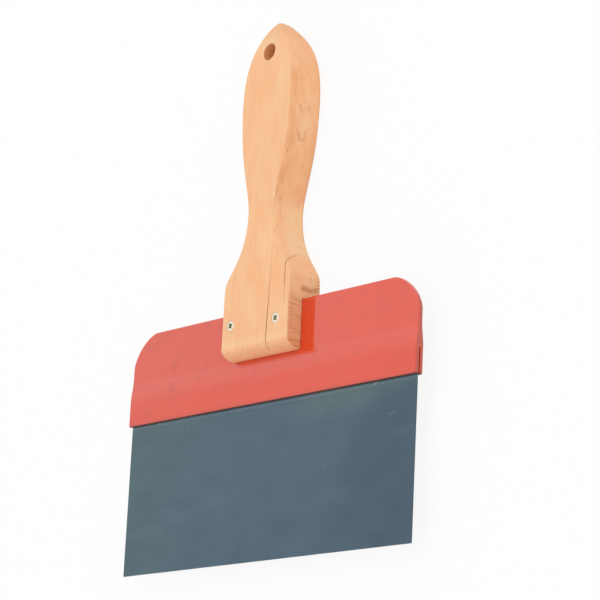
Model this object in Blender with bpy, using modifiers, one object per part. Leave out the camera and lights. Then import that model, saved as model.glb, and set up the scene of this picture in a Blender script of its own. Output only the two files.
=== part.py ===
"""Flexible putty knife: wooden handle, moulded holder, spring-steel blade and two wood screws.

The knife lies on its back on the ground plane. X runs across the blade, Y from the working edge
to the tip of the handle, and Z up through the thickness, with the screw heads on top.
"""

import math

import bmesh
import bpy

# Common fits
FIT_GAP = 0.0003
CUT_MARGIN = 0.004

# Blade
BLADE_WIDTH = 0.250
BLADE_REACH = 0.090
BLADE_GAUGE = 0.0006
BLADE_GRIP = 0.014
BLADE_CORNER = 0.0006

# Lock holes along the gripped edge of the blade
LOCK_COUNT = 5
LOCK_FROM_END = 0.029
LOCK_DIAMETER = 0.006
LOCK_BELOW_EDGE = 0.006

# Moulded holder
HOLDER_OVERHANG = 0.0009
HOLDER_HEIGHT = 0.056
TONGUE_GAUGE = 0.0028
JAW_GAUGE = 0.0054
JAW_HEIGHT = 0.015
FLARE_HEIGHT = 0.0145
LIP_ROUND = 0.0007
LIP_CORNER = 0.001
TOP_ROUND = 0.0006
SHOULDER_CUT_WIDTH = 0.021
SHOULDER_CUT_HEIGHT = 0.020
SHOULDER_CUT_FULLNESS = 1.6

# Wooden handle
HANDLE_LENGTH = 0.2002
HANDLE_THICKNESS = 0.023
TONGUE_DEPTH = 0.0292
TOE_WIDTH = 0.0587
SHOULDER_DRAW = 0.0006
SHOULDER_AT = 0.0422
NECK_WIDTH = 0.0253
NECK_AT = 0.0834
BELLY_WIDTH = 0.0459
BELLY_FROM_TIP = 0.0497
NOSE_LENGTH = 0.0438
NOSE_FULLNESS = 3.3
TOE_CORNER = 0.001
TOE_SLOPE_HEIGHT = 0.0052
TOE_FULLNESS = 1.65
TOE_EDGE = 0.0009

# Roundness of the handle's long edges, small on the block and full on the grip
BLOCK_EDGE = 0.0008
GRIP_EDGE = 0.003
EDGE_SHARE = 0.96
RUN_OUT_START = 0.036
RUN_OUT_LENGTH = 0.028

# How far each outline arc leaves its ends along their directions, as shares of the arc's own span
FLARE_START_EASE = (0.09, 0.171)
FLARE_END_EASE = 0.568
GRIP_START_EASE = 0.228
GRIP_END_EASE = 0.571
NOSE_START_EASE = 0.548
NOSE_END_EASE = (0.575, 0.237)

# Hanging hole
HANG_DIAMETER = 0.010
HANG_FROM_TIP = 0.020

# Wood screws
SCREW_INSET = 0.00935
SCREW_SHIFT = -0.0019
SCREW_ABOVE_TOE = 0.0179
SCREW_STAGGER = 0.0011
SCREW_LENGTH = 0.019
SCREW_HEAD = 0.006
SCREW_RIM = 0.0003
SCREW_SHANK = 0.003
SCREW_POINT = 0.004
RECESS_SPAN = 0.0036
RECESS_WIDTH = 0.0013
RECESS_DEPTH = 0.0011

# Fineness of round shapes
ROUND_STEPS = 32
EDGE_STEPS = 4
CURVE_STEPS = 10
GRIP_STEP = 0.005
NOSE_STEPS = 11
NOSE_LAST_ANGLE = 88
ARC_HALVINGS = 40
SHARP_ANGLE = math.radians(30)
MERGE_DISTANCE = 1e-6

# Places that follow from the sizes above
LIP_Y = BLADE_REACH
HOLDER_TOP_Y = LIP_Y + HOLDER_HEIGHT
TOE_Y = HOLDER_TOP_Y - TONGUE_DEPTH
TIP_Y = TOE_Y + HANDLE_LENGTH
SHOULDER_Y = TOE_Y + SHOULDER_AT
SHOULDER_WIDTH = TOE_WIDTH - SHOULDER_DRAW
NECK_Y = TOE_Y + NECK_AT
BELLY_Y = TIP_Y - BELLY_FROM_TIP
SCREW_Y = TOE_Y + SCREW_ABOVE_TOE
SCREW_PITCH = TOE_WIDTH - 2 * SCREW_INSET
HANG_Y = TIP_Y - HANG_FROM_TIP
BLADE_Z = HANDLE_THICKNESS / 2
HOLDER_WIDTH = BLADE_WIDTH + 2 * HOLDER_OVERHANG
LOCK_PITCH = (BLADE_WIDTH - 2 * LOCK_FROM_END) / (LOCK_COUNT - 1)
LOCK_Y = LIP_Y + BLADE_GRIP - LOCK_BELOW_EDGE
SLOT_GAUGE = TONGUE_GAUGE + 2 * FIT_GAP
BLADE_SLOT_GAUGE = BLADE_GAUGE + 2 * FIT_GAP
FULL_HALF = HANDLE_THICKNESS / 2
TOE_HALF = SLOT_GAUGE / 2 + TOE_EDGE

# Finishes: colour, roughness, metallic
WOOD = ("beech", (0.86, 0.53, 0.28), 0.55, 0.0)
RED_PLASTIC = ("red_plastic", (0.68, 0.09, 0.055), 0.18, 0.0)
BLUED_STEEL = ("blued_steel", (0.09, 0.135, 0.17), 0.42, 0.8)
ZINC = ("zinc_plate", (0.72, 0.73, 0.70), 0.30, 1.0)


def clear_scene():
    """Empty the scene of its objects."""
    for old in list(bpy.data.objects):
        bpy.data.objects.remove(old, do_unlink=True)


def new_collection(name):
    """Return a new collection linked to the scene."""
    group = bpy.data.collections.new(name)
    bpy.context.scene.collection.children.link(group)
    return group


def new_material(finish):
    """Return a Principled material for a finish."""
    name, colour, roughness, metallic = finish
    material = bpy.data.materials.new(name)
    material.use_nodes = True
    shader = material.node_tree.nodes["Principled BSDF"]
    shader.inputs["Base Color"].default_value = (*colour, 1.0)
    shader.inputs["Roughness"].default_value = roughness
    shader.inputs["Metallic"].default_value = metallic
    return material


def add_object(name, mesh, group):
    """Link a new mesh object to a collection."""
    piece = bpy.data.objects.new(name, mesh)
    group.objects.link(piece)
    return piece


def add_cutter(name, mesh, group):
    """Link a mesh object that only shapes other pieces."""
    tool = add_object(name, mesh, group)
    tool.hide_render = True
    tool.display_type = "WIRE"
    return tool


def plate_mesh(name, loops, thickness):
    """Return a flat plate in XY, centred on z = 0, from closed loops of points; inner loops are holes."""
    outline = bpy.data.curves.new(name, "CURVE")
    outline.dimensions = "2D"
    outline.fill_mode = "BOTH"
    outline.extrude = thickness / 2
    for loop in loops:
        spline = outline.splines.new("POLY")
        spline.points.add(len(loop) - 1)
        for point, (x, y) in zip(spline.points, loop):
            point.co = (x, y, 0.0, 1.0)
        spline.use_cyclic_u = True
    drawn = bpy.data.objects.new(name, outline)
    bpy.context.scene.collection.objects.link(drawn)
    evaluated = drawn.evaluated_get(bpy.context.evaluated_depsgraph_get())
    mesh = bpy.data.meshes.new_from_object(evaluated)
    bpy.data.objects.remove(drawn, do_unlink=True)
    weld(mesh)
    return mesh


def weld(mesh):
    """Join the caps of a mesh to its sides and turn its faces outwards."""
    bm = bmesh.new()
    bm.from_mesh(mesh)
    bmesh.ops.remove_doubles(bm, verts=bm.verts, dist=MERGE_DISTANCE)
    bmesh.ops.recalc_face_normals(bm, faces=bm.faces)
    bm.to_mesh(mesh)
    bm.free()


def circle_loop(x, y, radius):
    """Return the points of a circle."""
    turn = 2 * math.pi / ROUND_STEPS
    return [(x + radius * math.cos(k * turn), y + radius * math.sin(k * turn)) for k in range(ROUND_STEPS)]


def rounded_rectangle(low_x, high_x, low_y, high_y, radius):
    """Return the points of a rectangle with round corners, anticlockwise."""
    centres = (
        (high_x - radius, low_y + radius, -90),
        (high_x - radius, high_y - radius, 0),
        (low_x + radius, high_y - radius, 90),
        (low_x + radius, low_y + radius, 180),
    )
    points = []
    for x, y, start in centres:
        for k in range(EDGE_STEPS + 1):
            angle = math.radians(start + 90 * k / EDGE_STEPS)
            points.append((x + radius * math.cos(angle), y + radius * math.sin(angle)))
    return points


def cut(piece, tool, operation="DIFFERENCE"):
    """Shape a piece by another solid."""
    change = piece.modifiers.new(tool.name, "BOOLEAN")
    change.operation = operation
    change.solver = "EXACT"
    change.object = tool


def settle(piece):
    """Apply a piece's modifiers and shade it smooth between its sharp edges."""
    evaluated = piece.evaluated_get(bpy.context.evaluated_depsgraph_get())
    mesh = bpy.data.meshes.new_from_object(evaluated)
    mesh.shade_smooth()
    mesh.set_sharp_from_angle(angle=SHARP_ANGLE)
    piece.modifiers.clear()
    piece.data = mesh


def ease(share):
    """Return a smooth rise from 0 to 1."""
    share = min(1.0, max(0.0, share))
    return share * share * (3 - 2 * share)


def bulge(share, fullness):
    """Return a convex rise from 0 to 1 that starts steep and ends level; more fullness rounds it more."""
    share = min(1.0, max(0.0, share))
    return (1 - (1 - share) ** fullness) ** (1 / fullness)


def cubic(start, leave, arrive, end, t):
    """Return one coordinate of a cubic arc."""
    u = 1 - t
    return u * u * u * start + 3 * u * u * t * leave + 3 * u * t * t * arrive + t * t * t * end


def arc_width(y, low, high, leave, arrive):
    """Return the half width where an outline arc passes y.

    low and high are the arc's ends and leave and arrive its handles, each as (half width, y).
    """
    before, after = 0.0, 1.0
    for _ in range(ARC_HALVINGS):
        middle = (before + after) / 2
        if cubic(low[1], leave[1], arrive[1], high[1], middle) < y:
            before = middle
        else:
            after = middle
    return cubic(low[0], leave[0], arrive[0], high[0], before)


def block_half_width(y):
    """Return the half width of the straight block, with its rounded toe corners."""
    share = (y - TOE_Y) / SHOULDER_AT
    half = (TOE_WIDTH + (SHOULDER_WIDTH - TOE_WIDTH) * share) / 2
    below = TOE_CORNER - (y - TOE_Y)
    if below > 0:
        half -= TOE_CORNER - math.sqrt(max(0.0, TOE_CORNER ** 2 - below ** 2))
    return half


def half_width(y):
    """Return the half width of the handle's outline at y."""
    shoulder = (SHOULDER_WIDTH / 2, SHOULDER_Y)
    neck = (NECK_WIDTH / 2, NECK_Y)
    belly = (BELLY_WIDTH / 2, BELLY_Y)
    if y <= SHOULDER_Y:
        return block_half_width(y)
    if y <= NECK_Y:
        span_x = neck[0] - shoulder[0]
        span_y = NECK_Y - SHOULDER_Y
        leave = (shoulder[0] + FLARE_START_EASE[0] * span_x, SHOULDER_Y + FLARE_START_EASE[1] * span_y)
        arrive = (neck[0], NECK_Y - FLARE_END_EASE * span_y)
        return arc_width(y, shoulder, neck, leave, arrive)
    if y <= BELLY_Y:
        span_y = BELLY_Y - NECK_Y
        leave = (neck[0], NECK_Y + GRIP_START_EASE * span_y)
        arrive = (belly[0], BELLY_Y - GRIP_END_EASE * span_y)
        return arc_width(y, neck, belly, leave, arrive)
    leave = (belly[0], BELLY_Y + NOSE_START_EASE * BELLY_FROM_TIP)
    arrive = (NOSE_END_EASE[0] * belly[0], TIP_Y - NOSE_END_EASE[1] * BELLY_FROM_TIP)
    return arc_width(y, belly, (0.0, TIP_Y), leave, arrive)


def half_thickness(y):
    """Return half the handle's thickness at y: rounded cheek ends, flat faces and a rounded nose."""
    from_tip = (TIP_Y - y) / NOSE_LENGTH
    if from_tip < 1:
        return FULL_HALF * bulge(from_tip, NOSE_FULLNESS)
    return TOE_HALF + (FULL_HALF - TOE_HALF) * bulge((y - TOE_Y) / TOE_SLOPE_HEIGHT, TOE_FULLNESS)


def edge_radius(y):
    """Return the radius of the handle's long edges at y, running out from grip to block."""
    share = (y - TOE_Y - RUN_OUT_START) / RUN_OUT_LENGTH
    return BLOCK_EDGE + (GRIP_EDGE - BLOCK_EDGE) * ease(share)


def handle_stations():
    """Return the places along Y where the handle's sections lie."""
    toe_end = max(TOE_CORNER, TOE_SLOPE_HEIGHT)
    places = [TOE_Y + toe_end * (1 - math.cos(math.pi / 2 * k / CURVE_STEPS)) for k in range(CURVE_STEPS + 1)]
    places += [TOE_Y + RUN_OUT_START, SHOULDER_Y]
    nose_start = TIP_Y - NOSE_LENGTH
    count = max(2, round((nose_start - SHOULDER_Y) / GRIP_STEP))
    places += [SHOULDER_Y + (nose_start - SHOULDER_Y) * k / count for k in range(1, count)]
    nose_turn = math.radians(NOSE_LAST_ANGLE) / NOSE_STEPS
    places += [nose_start + NOSE_LENGTH * math.sin(k * nose_turn) for k in range(NOSE_STEPS + 1)]
    return sorted(set(places))


def handle_section(y):
    """Return the rounded rectangle of the handle at y as (x, z) points about its middle plane."""
    wide = half_width(y)
    thick = half_thickness(y)
    radius = min(EDGE_SHARE * wide, EDGE_SHARE * thick, edge_radius(y))
    return rounded_rectangle(-wide, wide, -thick, thick, radius)


def loft_mesh(name, rings):
    """Return a closed solid that runs through rings of as many points each."""
    bm = bmesh.new()
    loops = [[bm.verts.new(point) for point in ring] for ring in rings]
    for low, high in zip(loops, loops[1:]):
        for k in range(len(low)):
            n = (k + 1) % len(low)
            bm.faces.new((low[k], low[n], high[n], high[k]))
    bm.faces.new(loops[0])
    bm.faces.new(loops[-1])
    bmesh.ops.recalc_face_normals(bm, faces=bm.faces)
    mesh = bpy.data.meshes.new(name)
    bm.to_mesh(mesh)
    bm.free()
    return mesh


def box_mesh(name, size, centre):
    """Return a box of a given size about a centre."""
    bm = bmesh.new()
    bmesh.ops.create_cube(bm, size=1.0)
    bmesh.ops.scale(bm, vec=size, verts=bm.verts)
    bmesh.ops.translate(bm, vec=centre, verts=bm.verts)
    mesh = bpy.data.meshes.new(name)
    bm.to_mesh(mesh)
    bm.free()
    return mesh


def turned_object(name, profile, group):
    """Return an object turned about Z from a profile of (radius, height) points, top to bottom."""
    mesh = bpy.data.meshes.new(name)
    edges = [(k, k + 1) for k in range(len(profile) - 1)]
    mesh.from_pydata([(radius, 0.0, height) for radius, height in profile], edges, [])
    piece = add_object(name, mesh, group)
    turn = piece.modifiers.new("turned", "SCREW")
    turn.steps = ROUND_STEPS
    turn.render_steps = ROUND_STEPS
    turn.use_merge_vertices = True
    turn.merge_threshold = MERGE_DISTANCE
    return piece


def screw_profile(grow):
    """Return the outline of a screw from its head down, grown on every side by a gap.

    Heights run from the flush face of the head, at z = 0, down to the point.
    """
    head = SCREW_HEAD / 2 + grow
    shank = SCREW_SHANK / 2 + grow
    cone_end = -SCREW_RIM - (SCREW_HEAD - SCREW_SHANK) / 2 - grow
    top = CUT_MARGIN if grow else 0.0
    return [
        (0.0, top),
        (head, top),
        (head, -SCREW_RIM - grow / 2),
        (shank, cone_end),
        (shank, -SCREW_LENGTH + SCREW_POINT),
        (0.0, -SCREW_LENGTH - grow),
    ]


def make_handle(group, tools, screw_cutters):
    """Build the wooden handle with its slot, hanging hole and screw holes."""
    rings = [[(x, y, z) for x, z in handle_section(y)] for y in handle_stations()]
    handle = add_object("handle", loft_mesh("handle", rings), group)
    handle.location.z = BLADE_Z
    handle.data.materials.append(new_material(WOOD))
    slot_top = HOLDER_TOP_Y + FIT_GAP
    slot_low = TOE_Y - CUT_MARGIN
    slot_size = (max(TOE_WIDTH, SHOULDER_WIDTH) + 2 * CUT_MARGIN, slot_top - slot_low, SLOT_GAUGE)
    slot_mesh = box_mesh("handle_slot", slot_size, (0.0, (slot_top + slot_low) / 2, BLADE_Z))
    cut(handle, add_cutter("handle_slot", slot_mesh, tools))
    hang_loop = circle_loop(0.0, HANG_Y, HANG_DIAMETER / 2)
    hang_mesh = plate_mesh("hanging_hole", [hang_loop], HANDLE_THICKNESS + 2 * CUT_MARGIN)
    hang = add_cutter("hanging_hole", hang_mesh, tools)
    hang.location.z = BLADE_Z
    cut(handle, hang)
    for tool in screw_cutters:
        cut(handle, tool)
    return handle


def holder_half_profile():
    """Return half the holder's section as (y, half thickness), from the lip up to the top edge."""
    jaw = JAW_GAUGE / 2
    tongue = TONGUE_GAUGE / 2
    flare_low = LIP_Y + JAW_HEIGHT
    points = []
    for k in range(EDGE_STEPS + 1):
        angle = math.radians(90 * k / EDGE_STEPS)
        points.append((LIP_Y + LIP_ROUND * (1 - math.cos(angle)), jaw - LIP_ROUND * (1 - math.sin(angle))))
    for k in range(CURVE_STEPS + 1):
        share = k / CURVE_STEPS
        points.append((flare_low + FLARE_HEIGHT * share, jaw + (tongue - jaw) * ease(share)))
    for k in range(EDGE_STEPS + 1):
        angle = math.radians(90 * k / EDGE_STEPS)
        rise = HOLDER_TOP_Y - TOP_ROUND * (1 - math.sin(angle))
        points.append((rise, tongue - TOP_ROUND * (1 - math.cos(angle))))
    return points


def holder_outline():
    """Return the holder's front outline, with round lip corners and cut-back top corners."""
    half = HOLDER_WIDTH / 2
    power = 2 / SHOULDER_CUT_FULLNESS
    right = [(half - LIP_CORNER, LIP_Y - CUT_MARGIN)]
    for k in range(EDGE_STEPS + 1):
        angle = math.radians(90 * k / EDGE_STEPS)
        right.append((half - LIP_CORNER * (1 - math.sin(angle)), LIP_Y + LIP_CORNER * (1 - math.cos(angle))))
    for k in range(CURVE_STEPS + 1):
        angle = math.radians(90 * k / CURVE_STEPS)
        x = half - SHOULDER_CUT_WIDTH * (1 - max(0.0, math.cos(angle)) ** power)
        y = HOLDER_TOP_Y - SHOULDER_CUT_HEIGHT * (1 - math.sin(angle) ** power)
        right.append((x, y))
    left = [(-x, y) for x, y in reversed(right)]
    return right + left


def lock_places():
    """Return the X places of the blade's lock holes."""
    first = -LOCK_PITCH * (LOCK_COUNT - 1) / 2
    return [first + LOCK_PITCH * k for k in range(LOCK_COUNT)]


def make_holder(group, tools, screw_cutters):
    """Build the moulded holder with its tongue, flare, jaw and blade slot."""
    half_profile = holder_half_profile()
    profile = half_profile + [(y, -half) for y, half in reversed(half_profile)]
    mesh = plate_mesh("holder", [profile], HOLDER_WIDTH + 2 * CUT_MARGIN)
    holder = add_object("holder", mesh, group)
    holder.rotation_euler = (math.radians(90), 0.0, math.radians(90))
    holder.location.z = BLADE_Z
    holder.data.materials.append(new_material(RED_PLASTIC))
    outline_mesh = plate_mesh("holder_outline", [holder_outline()], JAW_GAUGE + 2 * CUT_MARGIN)
    outline = add_cutter("holder_outline", outline_mesh, tools)
    outline.location.z = BLADE_Z
    cut(holder, outline, "INTERSECT")
    reach = HOLDER_WIDTH / 2 + CUT_MARGIN
    top = LIP_Y + BLADE_GRIP + FIT_GAP
    slot_loops = [[(-reach, LIP_Y - CUT_MARGIN), (reach, LIP_Y - CUT_MARGIN), (reach, top), (-reach, top)]]
    peg = LOCK_DIAMETER / 2 - FIT_GAP
    slot_loops += [circle_loop(x, LOCK_Y, peg) for x in lock_places()]
    slot = add_cutter("blade_slot", plate_mesh("blade_slot", slot_loops, BLADE_SLOT_GAUGE), tools)
    slot.location.z = BLADE_Z
    cut(holder, slot)
    for tool in screw_cutters:
        cut(holder, tool)
    return holder


def make_blade(group):
    """Build the spring-steel blade with the lock holes along its gripped edge."""
    half = BLADE_WIDTH / 2
    loops = [rounded_rectangle(-half, half, 0.0, LIP_Y + BLADE_GRIP, BLADE_CORNER)]
    loops += [circle_loop(x, LOCK_Y, LOCK_DIAMETER / 2) for x in lock_places()]
    blade = add_object("blade", plate_mesh("blade", loops, BLADE_GAUGE), group)
    blade.location.z = BLADE_Z
    blade.data.materials.append(new_material(BLUED_STEEL))
    return blade


def make_screw(name, place, group, tools, zinc):
    """Build one countersunk screw with its cross recess."""
    screw = turned_object(name, screw_profile(0.0), group)
    screw.location = (*place, HANDLE_THICKNESS)
    screw.data.materials.append(zinc)
    sizes = ((RECESS_SPAN, RECESS_WIDTH, 2 * RECESS_DEPTH), (RECESS_WIDTH, RECESS_SPAN, 2 * RECESS_DEPTH))
    for label, size in zip(("across", "along"), sizes):
        tool_name = f"{name}_recess_{label}"
        tool = add_cutter(tool_name, box_mesh(tool_name, size, (0.0, 0.0, 0.0)), tools)
        tool.location = screw.location
        cut(screw, tool)
    return screw


def make_screw_cutter(name, place, tools):
    """Build the countersunk hole that a screw seats in."""
    tool = turned_object(name, screw_profile(FIT_GAP), tools)
    tool.location = (*place, HANDLE_THICKNESS)
    tool.hide_render = True
    tool.display_type = "WIRE"
    return tool


def main():
    """Build the knife about the middle of its footprint."""
    clear_scene()
    group = new_collection("flexible_putty_knife")
    tools = new_collection("flexible_putty_knife_cutters")
    sides = (
        ("left", (SCREW_SHIFT - SCREW_PITCH / 2, SCREW_Y + SCREW_STAGGER)),
        ("right", (SCREW_SHIFT + SCREW_PITCH / 2, SCREW_Y)),
    )
    screw_cutters = [make_screw_cutter(f"screw_hole_{side}", place, tools) for side, place in sides]
    zinc = new_material(ZINC)
    pieces = [
        make_handle(group, tools, screw_cutters),
        make_holder(group, tools, screw_cutters),
        make_blade(group),
    ]
    pieces += [make_screw(f"screw_{side}", place, group, tools, zinc) for side, place in sides]
    datum = bpy.data.objects.new("knife_datum", None)
    group.objects.link(datum)
    datum.location.y = -TIP_Y / 2
    for child in pieces + list(tools.objects):
        child.parent = datum
    for piece in pieces:
        settle(piece)


main()
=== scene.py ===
"""Looks of the flexible putty knife: sanded wood, glossy moulding, blued sheet and bright screws.

The knife lies on its back. X runs across the blade, Y from the working edge to the tip of the
handle, and Z up out of the face with the screw heads. All sizes are in metres.
"""

from __future__ import annotations

import logging
import math
from collections.abc import Callable, Iterator, Sequence
from contextlib import contextmanager
from dataclasses import dataclass
from enum import Enum

import bmesh
import bpy
from mathutils import Matrix, Vector


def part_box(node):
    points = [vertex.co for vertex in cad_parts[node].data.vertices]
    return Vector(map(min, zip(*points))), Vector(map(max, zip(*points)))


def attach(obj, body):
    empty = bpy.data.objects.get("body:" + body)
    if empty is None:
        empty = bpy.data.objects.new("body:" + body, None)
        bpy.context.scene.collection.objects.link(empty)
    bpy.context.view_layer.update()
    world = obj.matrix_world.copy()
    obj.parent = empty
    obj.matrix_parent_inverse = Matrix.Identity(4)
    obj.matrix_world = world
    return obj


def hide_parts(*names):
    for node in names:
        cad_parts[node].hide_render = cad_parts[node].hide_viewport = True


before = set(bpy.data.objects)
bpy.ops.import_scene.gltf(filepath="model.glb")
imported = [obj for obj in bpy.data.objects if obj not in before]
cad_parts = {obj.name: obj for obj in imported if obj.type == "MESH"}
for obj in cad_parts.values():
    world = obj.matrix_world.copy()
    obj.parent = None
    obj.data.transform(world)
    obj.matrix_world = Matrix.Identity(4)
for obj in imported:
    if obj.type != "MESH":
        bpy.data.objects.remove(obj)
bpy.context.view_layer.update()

LOG = logging.getLogger("putty_knife")
BODY = "root"
MERGE = 1e-6
NEAR = 1e-5
MARGIN = 0.004
FIT_GAP = 0.0003
SMOOTH_ANGLE = math.radians(32)
SHARP_ANGLE = math.radians(50)
QUARTER = math.pi / 2
WHITE = (1.0, 1.0, 1.0, 1.0)

Colour = tuple[float, float, float]
Place = tuple[float, float, float]
Span = tuple[float, float]
Window = tuple[float, float, float]


class Side(Enum):
    """The two sides of the knife, by the sign of X."""

    LEFT = -1
    RIGHT = 1


class Element(Enum):
    """What a selection picks out in edit mode."""

    VERTEX = "VERT"
    EDGE = "EDGE"
    FACE = "FACE"


class Mark(Enum):
    """What a cut leaves on its faces, kept as a face attribute that the finishes read."""

    GROOVE = "groove"
    BORE = "bore"


@dataclass(frozen=True)
class Groove:
    """A fine groove; each step of its path is X, Y, Z and the share of the full size there."""

    name: str
    width: float
    depth: float
    path: tuple[tuple[float, float, float, float], ...]


@dataclass(frozen=True)
class Grain:
    """A soft noise: the size of its features along X, Y and Z, its seed and its fineness."""

    cell: Place
    seed: float
    detail: float = 2.0
    rough: float = 0.5


@dataclass(frozen=True)
class Patch:
    """A soft spot of another tone: its middle, its reach along X, Y and Z, and its share."""

    centre: Place
    reach: Place
    share: float


@dataclass(frozen=True)
class Scar:
    """A small stroke of another tone: its two ends, its half width and its share."""

    start: Place
    end: Place
    width: float
    share: float


class Bench:
    """Hand tools: each method is one step of modelling on the active piece."""

    @staticmethod
    def start(name: str, add: Callable[..., set[str]], **sizes: object) -> bpy.types.Object:
        """Add a primitive as the start of a piece.

        Args:
            name: Name of the piece.
            add: Operator that adds the primitive.
            **sizes: The operator's own sizes and place.

        Returns:
            The new object, active and alone in the selection.
        """
        bpy.ops.object.select_all(action="DESELECT")
        add(**sizes)
        piece = bpy.context.active_object
        piece.name = name
        piece.data.name = name
        bpy.ops.object.transform_apply(location=True, rotation=True, scale=True)
        return piece

    @staticmethod
    def take(piece: bpy.types.Object) -> None:
        """Make a piece the active one, alone in the selection.

        Args:
            piece: The piece to take up.
        """
        bpy.ops.object.select_all(action="DESELECT")
        bpy.context.view_layer.objects.active = piece
        piece.select_set(True)

    @staticmethod
    @contextmanager
    def editing(piece: bpy.types.Object) -> Iterator[None]:
        """Open a piece in edit mode for the length of a with block.

        Args:
            piece: The piece to edit.

        Yields:
            Nothing.
        """
        Bench.take(piece)
        bpy.ops.object.mode_set(mode="EDIT")
        yield
        bpy.ops.object.mode_set(mode="OBJECT")

    @staticmethod
    def pick(piece: bpy.types.Object, want: Callable[[Vector], bool], element: Element = Element.VERTEX) -> int:
        """Select what lies wholly where a test says.

        Args:
            piece: The piece in edit mode.
            want: Test of a vertex's place.
            element: Whether vertices, edges or faces are picked.

        Returns:
            How many were picked.
        """
        bpy.ops.mesh.select_mode(type=element.value)
        bpy.ops.mesh.select_all(action="DESELECT")
        cage = bmesh.from_edit_mesh(piece.data)
        found = 0
        if element is Element.VERTEX:
            for vertex in cage.verts:
                vertex.select_set(want(vertex.co))
                found += vertex.select
        else:
            for part in cage.edges if element is Element.EDGE else cage.faces:
                part.select_set(all(want(vertex.co) for vertex in part.verts))
                found += part.select
        cage.select_flush_mode()
        bmesh.update_edit_mesh(piece.data)
        return found

    @staticmethod
    def stretch(scale: Place, about: Place) -> None:
        """Scale the selection about a point."""
        bpy.ops.transform.resize(value=scale, center_override=about)

    @staticmethod
    def pull(step: Place) -> None:
        """Extrude the selected faces along a step."""
        bpy.ops.mesh.extrude_region_move(TRANSFORM_OT_translate={"value": step})

    @staticmethod
    def slice_across(heights: Sequence[float]) -> None:
        """Cut the whole mesh by planes of constant Y.

        Args:
            heights: Where the planes stand along Y.
        """
        for height in heights:
            bpy.ops.mesh.select_all(action="SELECT")
            bpy.ops.mesh.bisect(plane_co=(0.0, height, 0.0), plane_no=(0.0, 1.0, 0.0))

    @staticmethod
    def close_up() -> None:
        """Merge doubles and turn every face outwards, over the whole mesh in edit mode."""
        bpy.ops.mesh.select_mode(type="VERT")
        bpy.ops.mesh.select_all(action="SELECT")
        bpy.ops.mesh.remove_doubles(threshold=MERGE)
        bpy.ops.mesh.normals_make_consistent(inside=False)

    @staticmethod
    def change(piece: bpy.types.Object, kind: str, **settings: object) -> None:
        """Add a modifier to a piece and apply it.

        Args:
            piece: The piece to change.
            kind: The modifier's type.
            **settings: The modifier's own settings.
        """
        Bench.take(piece)
        bpy.ops.object.modifier_add(type=kind)
        modifier = piece.modifiers[-1]
        for name, value in settings.items():
            setattr(modifier, name, value)
        bpy.ops.object.modifier_apply(modifier=modifier.name)

    @staticmethod
    def cut(piece: bpy.types.Object, tool: bpy.types.Object, mark: Mark | None = None) -> None:
        """Cut a tool's shape out of a piece and put the tool away.

        Args:
            piece: The piece to cut.
            tool: The closed cutter.
            mark: What the cut faces are remembered as, if anything.
        """
        if mark:
            tool.data.materials.append(bpy.data.materials.get(mark.value) or bpy.data.materials.new(mark.value))
        Bench.change(piece, "BOOLEAN", operation="DIFFERENCE", solver="EXACT", material_mode="TRANSFER", object=tool)
        bpy.data.objects.remove(tool, do_unlink=True)

    @staticmethod
    def note_marks(piece: bpy.types.Object) -> None:
        """Turn the cutters' marks on a piece's faces into face attributes.

        Args:
            piece: The piece whose cuts are done.
        """
        slots = [material.name if material else "" for material in piece.data.materials]
        faces = [slots[face.material_index] if slots else "" for face in piece.data.polygons]
        for mark in Mark:
            layer = piece.data.attributes.new(mark.value, "FLOAT", "FACE")
            layer.data.foreach_set("value", [float(name == mark.value) for name in faces])

    @staticmethod
    def round_edges(piece: bpy.types.Object, width: float, segments: int) -> None:
        """Round every sharp edge of a piece.

        Args:
            piece: The piece to round.
            width: How far the rounding reaches from the edge.
            segments: How many strips make up the rounding.
        """
        Bench.change(piece, "BEVEL", width=width, segments=segments, limit_method="ANGLE",
                     angle_limit=SHARP_ANGLE, harden_normals=False)

    @staticmethod
    def smooth(piece: bpy.types.Object) -> None:
        """Shade a piece smooth between its sharp edges, with flat faces kept flat.

        Args:
            piece: The piece to shade.
        """
        Bench.take(piece)
        bpy.ops.object.shade_smooth_by_angle(angle=SMOOTH_ANGLE)
        Bench.change(piece, "WEIGHTED_NORMAL", keep_sharp=True)

    @staticmethod
    def sweep(groove: Groove) -> bpy.types.Object:
        """Make a fine four-sided cutter that follows a groove's path.

        Args:
            groove: The groove to cut.

        Returns:
            The closed cutter.
        """
        points = [Vector(step[:3]) for step in groove.path]
        shares = [step[3] for step in groove.path]
        tool = Bench.start(groove.name, bpy.ops.mesh.primitive_circle_add, vertices=4, radius=0.5,
                           fill_type="NGON", location=points[0], rotation=(QUARTER, 0.0, 0.0))
        with Bench.editing(tool):
            bpy.ops.mesh.select_all(action="SELECT")
            Bench.stretch((groove.width * shares[0], 1.0, groove.depth * shares[0]), points[0])
            for index in range(1, len(points)):
                Bench.pull(points[index] - points[index - 1])
                change = shares[index] / shares[index - 1]
                Bench.stretch((change, 1.0, change), points[index])
            Bench.close_up()
        return tool


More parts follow.
